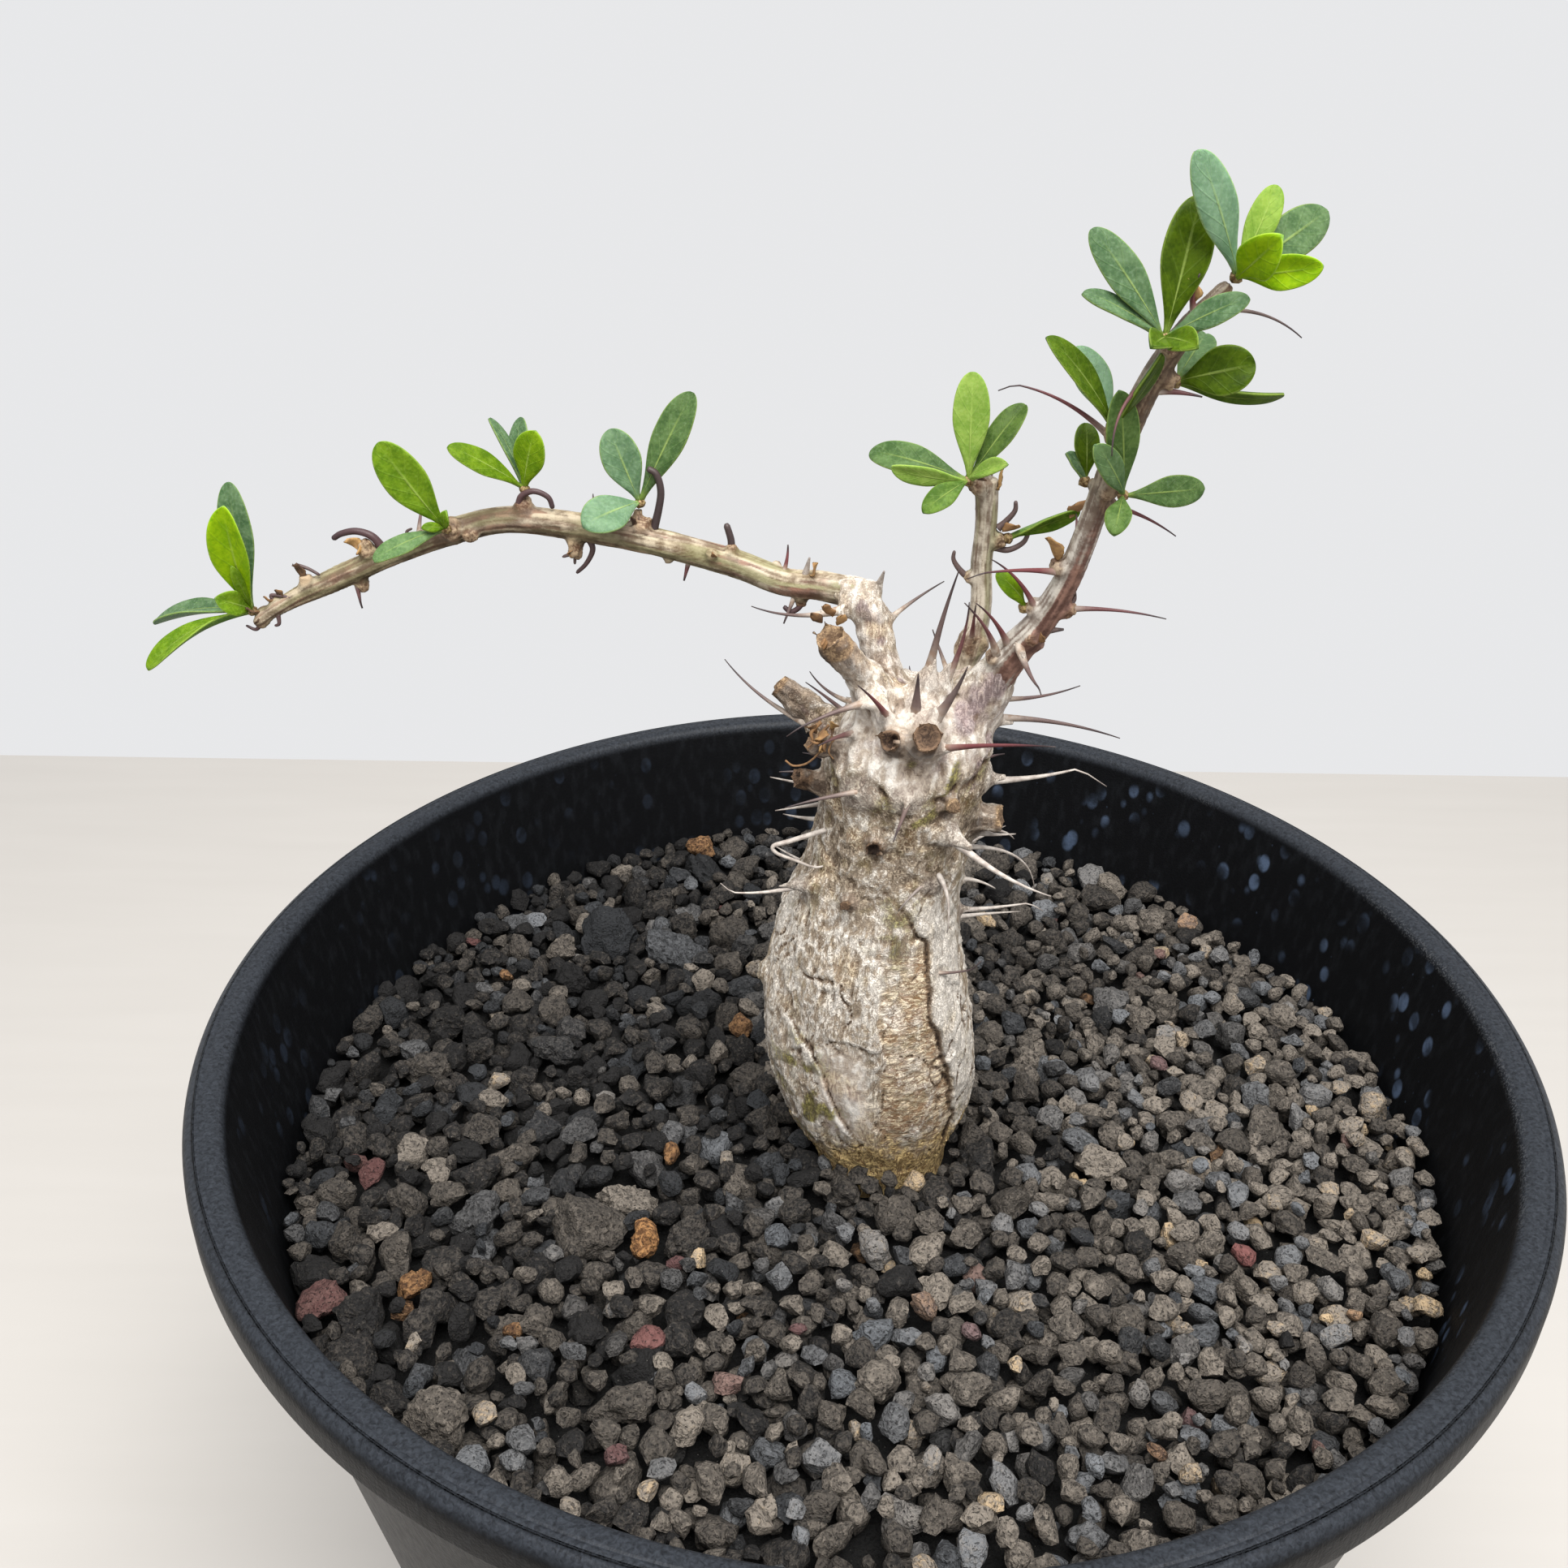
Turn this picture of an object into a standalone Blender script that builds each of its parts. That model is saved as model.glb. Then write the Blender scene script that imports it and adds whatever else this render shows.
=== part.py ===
"""Potted boojum tree: a bottle-trunked seedling in lava grit, in a round black plastic pot.

Metres, +Z up. The origin is the centre of the pot's footprint. The tree is seen from -Y: its long
bare branch reaches to -X and its leafy branch leans to +X. Tables are in millimetres.
"""

import math
import random

import bmesh
import bpy
from mathutils import Matrix, Vector

MM = 0.001
GAP = 0.3  # clearance between two pieces that touch, mm

# Pot, mm. Its wall widens upwards to the rim, which is rolled out over it.
RIM_RADIUS = 75.0
POT_HEIGHT = 120.0
RIM_WIDTH = 4.2
RIM_DEPTH = 4.8
WALL = 1.6
WALL_SLOPE = 0.17  # how far the wall comes in for each mm down
SKIRT = 1.3  # thickness of the rim's turned-down lip
UNDER_RIM = 1.9  # thickness of the rim's top
FLOOR_THICKNESS = 3.2
POT_STEPS = 44
DRAIN_HOLES = 6
DRAIN_RADIUS = 4.0
DRAIN_CIRCLE = 34.0
CHANNEL = (30.0, 5.0, 1.2)  # length, width and depth of the channel from each hole to the edge

# Grit, mm. The grains are angular lava, larger than life so that few of them cover the bed.
SOIL_Z = 103.5  # the level that the tree stands at
BED_DROP = 2.6  # how far the bed lies below that level, under the grains
FLOOR_CLEAR = 2.6  # how far the bed's foot keeps from the wall, clear of the floor's rounded corner
GRAINS = 150
GRAIN_SIZES = (6.6, 9.4)  # side of a grain, mm
GRAIN_RISE = (-1.2, 0.9)  # where a grain's middle lies from the bed's top, mm
GRAIN_WEAR = 0.28  # how far a corner may be worn back towards the middle
GRAIN_SEED = 11
ROOT_CLEAR = 11.5  # no grain's centre is nearer than this to the trunk's axis

# Trunk: height over the grit, radius, centre x, centre y, mm
TRUNK = (
    (-26.0, 2.2, 3.4, -3.2),
    (-18.0, 4.6, 3.2, -3.4),
    (-9.0, 7.2, 3.0, -3.8),
    (-3.0, 8.6, 2.8, -4.0),
    (0.0, 9.3, 2.6, -4.0),
    (4.0, 10.4, 2.1, -4.0),
    (9.0, 11.2, 1.5, -4.0),
    (15.0, 11.6, 0.9, -4.0),
    (21.0, 11.3, 0.6, -4.0),
    (27.0, 10.4, 0.5, -4.0),
    (31.5, 9.5, 0.7, -4.0),
    (36.0, 9.1, 1.6, -4.0),
    (41.0, 8.6, 2.3, -4.1),
    (45.0, 8.7, 2.8, -4.2),
    (49.0, 9.0, 3.1, -4.3),
    (52.5, 8.5, 3.6, -4.4),
    (55.5, 7.0, 4.2, -4.6),
    (58.0, 4.4, 4.6, -4.8),
)
TRUNK_SIDES = 20
TRUNK_RINGS_PER_STEP = 2
TRUNK_LOBES = ((2, 0.030, 0.6), (3, 0.028, 2.1), (5, 0.016, 0.4), (9, 0.012, 1.3))
TRUNK_TWIST = 0.035  # radians that the lobes turn for each mm of height

# Limbs of the trunk: points along the limb as x, y, z, radius, mm
LIMBS = {
    "left_elbow": ((2.8, -4.6, 155.0, 3.4), (0.9, -3.8, 162.0, 2.3), (-0.7, -3.0, 166.8, 2.1),
                   (-2.0, -2.4, 169.7, 2.3), (-4.4, -1.6, 170.3, 2.2)),
    "right_shoulder": ((5.5, -4.6, 153.5, 4.4), (8.8, -5.2, 158.8, 3.6), (11.6, -6.4, 164.0, 2.9)),
    "middle_collar": ((6.4, -3.6, 154.5, 3.0), (7.8, -2.4, 159.0, 2.5), (8.8, -1.7, 162.3, 2.1)),
}

# Snags, the cut and broken ends of old branches: start, end, first and last radius, mm
SNAGS = (
    ((1.6, -6.5, 159.0), (-4.4, -11.4, 169.2), 2.7, 1.9),
    ((-1.0, -3.6, 153.2), (-10.6, -1.2, 159.6), 2.4, 1.5),
    ((0.5, -5.6, 153.6), (-6.6, -9.2, 157.2), 2.3, 1.4),
    ((0.5, -5.0, 148.2), (-8.0, -6.8, 151.6), 2.2, 1.5),
    ((4.8, -8.0, 155.0), (4.6, -16.6, 160.6), 2.6, 1.7),
    ((2.6, -8.0, 156.0), (1.4, -13.6, 159.8), 1.7, 1.1),
    ((6.5, -4.2, 146.4), (13.9, -4.2, 146.8), 2.5, 1.8),
    ((1.0, -9.0, 146.2), (0.3, -13.9, 147.6), 1.7, 1.2),
    ((6.2, -9.0, 151.2), (8.2, -13.0, 152.2), 1.9, 1.2),
    ((4.8, 0.0, 150.0), (7.4, 6.2, 153.6), 2.2, 1.5),
    ((-1.0, -9.0, 139.4), (-2.6, -13.9, 140.4), 2.2, 1.2),
    ((-6.0, -4.4, 124.0), (-11.6, -5.4, 126.0), 2.4, 1.3),
)

# Branches: points from the root to the tip as x, y, z, radius, mm
BRANCHES = {
    "left": ((-2.4, -2.2, 170.1, 1.45), (-6.0, -1.1, 170.3, 1.5), (-10.0, 0.0, 170.2, 1.45),
             (-14.8, 1.0, 171.5, 1.4), (-22.2, 2.0, 173.0, 1.4), (-30.3, 2.8, 174.1, 1.4),
             (-38.3, 3.0, 174.6, 1.35), (-44.2, 2.8, 173.2, 1.3), (-50.5, 2.0, 170.8, 1.2),
             (-56.3, 1.0, 168.3, 1.2), (-60.6, -0.4, 166.5, 1.1), (-64.0, -1.7, 164.7, 0.85)),
    "middle": ((8.3, -2.0, 160.6, 1.4), (9.2, -1.2, 164.7, 1.35), (9.9, -0.4, 168.4, 1.25),
               (9.7, 0.0, 173.0, 1.2), (9.8, 0.0, 177.4, 1.25), (9.5, 0.0, 181.6, 1.3)),
    "right": ((10.2, -5.7, 161.3, 2.2), (12.9, -7.0, 166.6, 2.2), (15.1, -8.0, 170.2, 1.8),
              (16.8, -9.1, 174.4, 1.4), (18.0, -10.1, 179.2, 1.15), (18.9, -11.0, 183.8, 1.1),
              (19.9, -12.0, 188.6, 1.15), (21.5, -13.1, 194.0, 1.1), (23.6, -14.0, 198.5, 0.95),
              (26.3, -14.2, 202.0, 0.7)),
}
BRANCH_STEPS = 2
BRANCH_SIDES = 8
SOCKET_DEPTH = 3.2  # how far a branch's root goes into the trunk

# Short shoots that carry the leaves. at counts along the branch's points, lean is the way that the
# shoot stands out. A leaf is where its tip lies from the shoot, its width, and its turn in degrees
# from facing the front. All in mm.
SHOOTS = {
    "left_tip": ("left", 10.8, (-0.9, 0.2, 0.0), 0.3, (
        ((-11.4, 0.8, -2.0), 3.2, 55), ((-9.8, -5.4, -4.6), 3.2, 58), ((-1.0, 1.6, 13.2), 3.6, 8),
        ((0.2, -2.6, 12.4), 4.2, -8), ((-1.6, -3.6, 2.4), 2.4, 30))),
    "left_outer": ("left", 7.0, (0.0, -0.9, 0.4), 0.3, (
        ((-5.5, -1.5, 9.0), 4.4, 0), ((-6.5, -3.5, -2.4), 3.2, 25), ((0.6, -0.4, 2.6), 1.2, 0))),
    "left_middle": ("left", 5.8, (0.1, 0.0, 1.0), 1.0, (
        ((-6.5, -3.0, 5.0), 2.6, 36), ((-3.5, 2.0, 5.6), 2.2, 48), ((-1.5, 4.0, 5.2), 2.6, -20),
        ((2.0, -1.0, 6.0), 3.5, -8))),
    "left_inner": ("left", 4.4, (0.2, 0.0, 1.0), 1.3, (
        ((-2.6, 0.6, 7.0), 3.9, 6), ((5.4, 2.6, 10.0), 3.6, -8), ((-4.2, -5.0, 0.2), 3.7, 14))),
    "middle_top": ("middle", 4.8, (-0.7, -0.6, 0.4), 0.6, (
        ((-0.5, 1.6, 10.0), 3.3, 0), ((4.6, 3.4, 6.0), 2.6, -22), ((-9.0, 4.4, 1.6), 3.0, 20),
        ((-7.4, -1.6, 2.0), 2.0, -48), ((3.0, -3.6, 3.6), 2.0, -40), ((-4.0, -2.6, -2.0), 2.2, 12))),
    "middle_side": ("middle", 3.6, (1.0, -0.1, 0.0), 0.3, (((5.5, -2.0, 4.4), 1.8, 64),)),
    "right_low": ("right", 2.9, (-1.0, 0.2, 0.1), 0.3, (((-2.4, 0.8, 3.2), 1.8, 10),)),
    "right_first": ("right", 5.2, (0.6, -0.8, -0.2), 0.3, (
        ((7.6, 2.6, -0.8), 2.7, 8), ((-0.4, -3.6, -2.6), 2.1, 10), ((-3.0, -2.6, 5.0), 2.2, 10))),
    "right_second": ("right", 6.3, (-0.7, -0.7, 0.1), 0.3, (
        ((-1.2, -3.2, 7.2), 2.8, 8), ((-6.6, -1.4, 9.8), 2.8, 26), ((-4.2, 3.6, 7.4), 2.6, 10),
        ((0.4, -2.4, 8.0), 1.6, 58))),
    "right_rear": ("right", 5.1, (-0.6, 0.8, 0.0), 0.3, (
        ((-0.6, 2.6, 4.2), 2.2, 10), ((-1.6, 0.8, 2.0), 1.6, 40))),
    "right_third": ("right", 7.8, (-0.6, -0.8, 0.2), 0.6, (
        ((-6.6, 0.6, 8.0), 3.2, 4), ((1.4, 2.6, 10.0), 4.2, 0), ((-7.0, -0.6, 3.6), 2.0, 28),
        ((5.6, -1.8, 4.0), 2.4, -18), ((1.4, -4.4, 1.0), 2.4, 0))),
    "right_back": ("right", 7.1, (0.9, 0.4, -0.2), 0.3, (
        ((5.7, -1.4, 2.0), 3.8, 4), ((4.4, 5.4, 2.6), 2.9, -10), ((9.6, 2.6, -1.6), 1.8, 66))),
    "right_tip": ("right", 8.8, (0.6, -0.1, 0.8), 0.3, (
        ((-4.3, -2.8, 8.6), 3.4, 4), ((1.8, 2.4, 6.7), 2.6, 0), ((7.5, 6.2, 4.5), 3.6, 4),
        ((0.4, -4.6, 3.5), 3.2, 14), ((5.0, -3.6, 1.0), 2.8, 22))),
}
SHOOT_RADIUS = 0.4
BUD_RADIUS = 0.6
LEAF_THICKNESS = 0.6
BROAD_LEAF = 3.4  # a leaf at least this wide has four cells across, and a slimmer one two
LEAF_CELLS = 4  # cells along a leaf
LEAF_FOLD = 0.20  # how far the edges rise over the midrib, in half widths
LEAF_CURL = 0.07  # how far the tip bends back, in lengths
PETIOLE_SHARE = 0.14  # width of a leaf's foot, in leaf widths

# Spines of the trunk: height over the grit, bearing round it in degrees (0 is +X, -90 the front),
# where the tip lies from the root, and the root's radius, mm
TRUNK_SPINES = (
    (55.0, -9, (14.4, 1.6, -2.2), 1.1), (48.0, -7, (12.6, -0.4, 1.6), 0.8),
    (53.5, -72, (10.4, -6.6, 3.6), 0.8), (50.5, -88, (-1.6, -6.4, -1.8), 0.7),
    (49.5, -112, (-8.8, -2.4, -1.6), 0.8), (45.0, -60, (9.6, -8.2, -1.2), 1.0),
    (38.0, 4, (7.4, 3.6, -6.6), 0.6), (30.5, 4, (9.8, 0.8, 0.8), 0.6),
    (35.8, -154, (-10.4, -1.4, -1.0), 0.6), (41.0, 176, (-5.4, -1.2, -0.4), 0.5),
    (46.5, -178, (-4.2, -0.6, 1.6), 0.5), (55.0, 150, (-6.0, 4.8, 1.0), 0.6),
    (33.6, -58, (1.6, -2.8, -5.6), 0.6), (40.0, -8, (4.2, -0.8, -1.8), 0.6),
    (52.0, 24, (7.6, 4.2, 2.6), 0.6), (22.0, -30, (4.6, -3.2, 1.8), 0.4),
)
# The side that the front view hides carries its spines by the same turn from one to the next
BACK_SPINES = 11
BACK_HEIGHTS = (28.0, 55.0)
BACK_BEARINGS = (30.0, 150.0)
BACK_REACH = (8.0, 12.0)

# Spines that stand on limbs and snags: root, where the tip lies from it, root radius, mm
LIMB_SPINES = (
    ((4.4, -6.6, 159.2), (2.8, -2.2, 16.6), 1.2), ((-6.6, -2.4, 156.8), (-9.6, 3.4, 4.4), 0.7),
    ((-0.8, -9.4, 162.6), (-7.2, -5.2, -1.6), 0.8), ((0.0, -8.4, 162.0), (-2.2, -8.0, 4.4), 0.7),
    ((5.6, -6.6, 159.4), (3.6, -6.6, 7.4), 0.9), ((0.6, -3.2, 165.8), (6.0, 4.0, 4.4), 0.7),
    ((-2.2, -3.4, 167.7), (-10.8, 1.4, 0.4), 0.6), ((10.6, -5.4, 160.2), (9.2, 1.0, 1.4), 0.6),
    ((8.0, -2.2, 159.8), (-1.6, 3.8, 5.6), 0.5), ((7.6, -2.0, 158.6), (-4.6, 4.8, -0.6), 0.5),
    ((-1.0, -3.4, 167.4), (-1.8, -4.0, 3.8), 0.6),
)

# Spines of the branches: at counts along the branch's points, then the same as for a limb
BRANCH_SPINES = {
    "left": ((2.0, (0.6, 0.2, 3.2), 0.4), (3.1, (0.2, -0.4, 4.2), 0.6), (4.1, (0.3, -1.6, 8.0), 0.5),
             (5.6, (3.0, -1.8, 3.2), 0.5), (5.1, (-0.8, -0.8, -4.6), 0.6), (8.2, (-4.6, 0.4, 2.6), 0.6),
             (9.7, (-0.6, 0.2, 3.4), 0.5), (8.7, (0.6, -0.4, -3.2), 0.5), (1.6, (-1.2, -1.6, -3.4), 0.5),
             (3.65, (-0.6, -0.4, -3.4), 0.5), (7.6, (-0.6, 4.0, 2.2), 0.5), (4.9, (-1.0, 4.8, 1.4), 0.5),
             (2.6, (0.6, 4.4, -1.0), 0.5)),
    "middle": ((1.0, (-0.2, -6.0, 7.0), 0.6), (2.6, (-3.8, -0.4, 3.0), 0.5),
               (3.1, (4.4, 1.6, 0.2), 0.5), (4.3, (0.6, 4.6, 2.0), 0.5)),
    "right": ((1.0, (-3.8, -5.2, 5.4), 0.6), (2.1, (-4.8, -2.6, 5.2), 0.6), (3.3, (-7.6, -5.6, 1.4), 0.6),
              (2.4, (9.6, -0.6, -0.6), 0.6), (1.1, (1.6, -5.8, -1.6), 0.6), (4.85, (6.4, 0.6, -2.8), 0.5),
              (6.0, (-10.0, 1.4, 3.4), 0.5), (8.5, (8.0, -0.4, -2.2), 0.5), (3.6, (0.4, 6.2, 1.6), 0.5),
              (4.4, (1.2, 6.6, 2.4), 0.5), (7.4, (-2.6, 5.8, -1.4), 0.5)),
}
LONG_SPINE = 7.0  # a spine longer than this is bent at two places, and a shorter one at one
SPINE_ARCH = 0.05  # how far a spine rises over the straight line to its point, in lengths
SPINE_TIP = 0.14  # radius of a spine's point, mm
TRUNK_INSET = 1.6  # how deep a spine is rooted in the trunk

COLOURS = {
    "black plastic": ((0.014, 0.015, 0.018), 0.38),
    "lava grit": ((0.072, 0.064, 0.058), 0.95),
    "grey bark": ((0.46, 0.40, 0.33), 0.85),
    "tan twig": ((0.36, 0.27, 0.19), 0.70),
    "leaf": ((0.14, 0.27, 0.09), 0.50),
}


def clear_scene():
    for obj in list(bpy.data.objects):
        bpy.data.objects.remove(obj)


def make_material(name):
    colour, roughness = COLOURS[name]
    material = bpy.data.materials.new(name)
    material.use_nodes = True
    shader = material.node_tree.nodes["Principled BSDF"]
    shader.inputs["Base Color"].default_value = (*colour, 1.0)
    shader.inputs["Roughness"].default_value = roughness
    shader.inputs["Metallic"].default_value = 0.0
    material.diffuse_color = (*colour, 1.0)
    return material


def make_collection(name):
    collection = bpy.data.collections.new(name)
    bpy.context.scene.collection.children.link(collection)
    return collection


def add_object(name, mesh, collection):
    obj = bpy.data.objects.new(name, mesh)
    collection.objects.link(obj)
    return obj


def mesh_from(name, bm):
    mesh = bpy.data.meshes.new(name)
    bm.to_mesh(mesh)
    bm.free()
    return mesh


def evaluated_mesh(obj):
    bpy.context.view_layer.update()
    graph = bpy.context.evaluated_depsgraph_get()
    return bpy.data.meshes.new_from_object(obj.evaluated_get(graph))


def smooth_path(points, steps):
    """A Catmull-Rom curve through the points, whose last number is a radius."""
    rows = [Vector(p) for p in points]
    ends = [2 * rows[0] - rows[1], *rows, 2 * rows[-1] - rows[-2]]
    path = []
    for i in range(len(rows) - 1):
        a, b, c, d = ends[i : i + 4]
        for k in range(steps):
            t = k / steps
            path.append(0.5 * (2 * b + (c - a) * t + (2 * a - 5 * b + 4 * c - d) * t * t
                               + (3 * b - a - 3 * c + d) * t**3))
    return [*path, rows[-1]]


def point_at(points, at):
    """The point and the radius at a place counted along a branch's points."""
    path = smooth_path(points, 10)
    i = min(len(path) - 2, int(at * 10))
    row = path[i].lerp(path[i + 1], at * 10 - i)
    return Vector(row[:3]), row[3]


def tube(points, sides):
    """A closed tube along points of x, y, z, radius in mm, swept as a curve and made a mesh."""
    curve = bpy.data.curves.new("tube", "CURVE")
    curve.dimensions = "3D"
    curve.bevel_depth = MM
    curve.bevel_resolution = (sides - 4) // 2
    curve.use_fill_caps = True
    spline = curve.splines.new("POLY")
    spline.points.add(len(points) - 1)
    for target, (x, y, z, radius) in zip(spline.points, points):
        target.co = (x * MM, y * MM, z * MM, 1)
        target.radius = radius
    holder = add_object("tube", curve, bpy.context.scene.collection)
    mesh = evaluated_mesh(holder)
    bpy.data.objects.remove(holder)
    bm = bmesh.new()
    bm.from_mesh(mesh)
    bmesh.ops.remove_doubles(bm, verts=bm.verts, dist=0.01 * MM)
    bmesh.ops.recalc_face_normals(bm, faces=bm.faces)
    bm.to_mesh(mesh)
    bm.free()
    return mesh


def frustum(start, end, radius_1, radius_2, sides):
    """A tapered peg from start to end, in mm."""
    start, end = Vector(start), Vector(end)
    axis = end - start
    place = Matrix.Translation((start + end) / 2 * MM) @ axis.to_track_quat("Z", "Y").to_matrix().to_4x4()
    bm = bmesh.new()
    bmesh.ops.create_cone(bm, cap_ends=True, segments=sides, radius1=radius_1 * MM, radius2=radius_2 * MM,
                          depth=axis.length * MM, matrix=place)
    return mesh_from("peg", bm)


def spine(root, reach, radius):
    """A needle that arches a little on its way from its root to its point, in mm."""
    root, reach = Vector(root), Vector(reach)
    points = []
    bends = 3 if reach.length > LONG_SPINE else 2
    for k in range(bends + 1):
        t = k / bends
        arch = Vector((0, 0, SPINE_ARCH * reach.length * 4 * t * (1 - t)))
        points.append((*(root + reach * t + arch), radius + (SPINE_TIP - radius) * t**0.7))
    return tube(points, 4)


def fuse(name, meshes, material, collection, cutters=(), solver="EXACT"):
    """One closed body from several that overlap, less the cutters."""
    body = add_object(name, meshes[0], collection)
    repeats = make_collection("repeats")
    for mesh in meshes[1:]:
        add_object("repeat", mesh, repeats)
    if len(meshes) > 1:
        join = body.modifiers.new("join", "BOOLEAN")
        join.operation = "UNION"
        join.operand_type = "COLLECTION"
        join.collection = repeats
        join.solver = solver
    for cutter in cutters:
        cut = body.modifiers.new("cut", "BOOLEAN")
        cut.operation = "DIFFERENCE"
        cut.object = cutter
        cut.solver = solver
    body.data = evaluated_mesh(body)
    body.modifiers.clear()
    for obj in list(repeats.objects):
        bpy.data.objects.remove(obj)
    bpy.data.collections.remove(repeats)
    body.data.materials.clear()
    body.data.materials.append(material)
    return body


def make_cutter(name, mesh, collection):
    cutter = add_object(name, mesh, collection)
    cutter.hide_render = True
    cutter.display_type = "WIRE"
    return cutter


def wall_radius(z, inner):
    """The wall's outer or inner radius at a height over the ground, mm."""
    top = RIM_RADIUS - RIM_WIDTH + (0 if inner else WALL)
    return top - WALL_SLOPE * (POT_HEIGHT - z)


def pot_profile():
    """The pot's section from the middle of its floor inside, over the rim, to its underside."""
    rim_in, rim_out = RIM_RADIUS - RIM_WIDTH, RIM_RADIUS
    top, low, under = POT_HEIGHT, POT_HEIGHT - RIM_DEPTH, POT_HEIGHT - UNDER_RIM
    floor, foot_out = FLOOR_THICKNESS, wall_radius(0, False)
    inside = [(0, floor), (wall_radius(floor, True) - 2.0, floor),
              (wall_radius(floor + 2.0, True), floor + 2.0), (wall_radius(top - 1.2, True), top - 1.2)]
    rim = [(rim_in + 0.4, top - 0.35), (rim_in + 1.3, top), (rim_out - 1.5, top), (rim_out - 0.5, top - 0.55),
           (rim_out, top - 1.7), (rim_out, low + 1.0), (rim_out - 0.35, low + 0.2), (rim_out - 0.9, low),
           (rim_out - SKIRT, low + 0.3), (rim_out - SKIRT, under), (wall_radius(under, False), under)]
    outside = [(wall_radius(low - 1.0, False), low - 1.0), (wall_radius(1.0, False), 1.0),
               (foot_out - 0.9, 0), (0, 0)]
    return inside + rim + outside


def make_pot(material, collection, cutters):
    bm = bmesh.new()
    corners = [bm.verts.new((r * MM, 0, z * MM)) for r, z in pot_profile()]
    for a, b in zip(corners, corners[1:]):
        bm.edges.new((a, b))
    turned = add_object("pot_section", mesh_from("pot_section", bm), collection)
    screw = turned.modifiers.new("turn", "SCREW")
    screw.steps = screw.render_steps = POT_STEPS
    screw.use_merge_vertices = True
    screw.merge_threshold = 0.00001
    bm = bmesh.new()
    bm.from_mesh(evaluated_mesh(turned))
    bpy.data.objects.remove(turned)
    bmesh.ops.recalc_face_normals(bm, faces=bm.faces)
    shell = mesh_from("pot", bm)
    tools = []
    for i in range(DRAIN_HOLES):
        turn = math.tau * (i + 0.5) / DRAIN_HOLES
        x, y = DRAIN_CIRCLE * math.cos(turn), DRAIN_CIRCLE * math.sin(turn)
        drill = frustum((x, y, -2), (x, y, FLOOR_THICKNESS + 2), DRAIN_RADIUS, DRAIN_RADIUS, 12)
        tools.append(make_cutter(f"drain_{i}", drill, cutters))
        length, width, depth = CHANNEL
        bm = bmesh.new()
        bmesh.ops.create_cube(bm, size=1)
        bmesh.ops.scale(bm, verts=bm.verts, vec=(length * MM, width * MM, 2 * depth * MM))
        bmesh.ops.translate(bm, verts=bm.verts, vec=((DRAIN_CIRCLE + length / 2) * MM, 0, 0))
        bmesh.ops.rotate(bm, verts=bm.verts, matrix=Matrix.Rotation(turn, 3, "Z"))
        tools.append(make_cutter(f"channel_{i}", mesh_from("channel", bm), cutters))
    pot = fuse("pot", [shell], material, collection, tools)
    pot.data.shade_smooth()
    pot.data.set_sharp_from_angle(angle=math.radians(35))
    return pot


def trunk_radius(height, radius, bearing):
    """The trunk isn't round: lobes run up it and turn slowly round it."""
    turn = bearing + TRUNK_TWIST * height
    return radius * (1 + sum(share * math.sin(n * turn + phase) for n, share, phase in TRUNK_LOBES))


def trunk_row(height):
    """Radius and centre of the trunk at a height over the grit."""
    rows = [r for r in TRUNK if r[0] <= height] or [TRUNK[0]]
    low = rows[-1]
    high = TRUNK[min(TRUNK.index(low) + 1, len(TRUNK) - 1)]
    share = 0 if high == low else (height - low[0]) / (high[0] - low[0])
    return [a + (b - a) * share for a, b in zip(low[1:], high[1:])]


def trunk_surface(height, bearing, inset):
    radius, x, y = trunk_row(height)
    out = trunk_radius(height, radius, bearing) - inset
    return Vector((x + out * math.cos(bearing), y + out * math.sin(bearing), SOIL_Z + height))


def trunk_mesh(grow):
    """The bottle trunk as a loft of lobed rings, made larger all round by grow, mm."""
    rings = smooth_path([(x, y, h, r) for h, r, x, y in TRUNK], TRUNK_RINGS_PER_STEP)
    bm = bmesh.new()
    loops = []
    for x, y, height, radius in rings:
        height -= grow if not loops else 0
        loop = []
        for k in range(TRUNK_SIDES):
            bearing = math.tau * k / TRUNK_SIDES
            out = trunk_radius(height, radius, bearing) + grow
            at = (x + out * math.cos(bearing), y + out * math.sin(bearing), SOIL_Z + height)
            loop.append(bm.verts.new(Vector(at) * MM))
        loops.append(loop)
    for low, high in zip(loops, loops[1:]):
        for k in range(TRUNK_SIDES):
            n = (k + 1) % TRUNK_SIDES
            bm.faces.new((low[k], low[n], high[n], high[k]))
    bm.faces.new(reversed(loops[0]))
    bm.faces.new(loops[-1])
    return mesh_from("trunk", bm)


def branch_root(points, grow):
    """The part of a branch that goes into the trunk, made larger all round by grow, mm."""
    start, radius = Vector(points[0][:3]), points[0][3]
    along = (Vector(points[1][:3]) - start).normalized()
    back = start - along * (grow if grow else 0)
    return frustum(back, start + along * SOCKET_DEPTH * 2, radius + grow, points[1][3] + grow + 0.1, 12)


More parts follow.
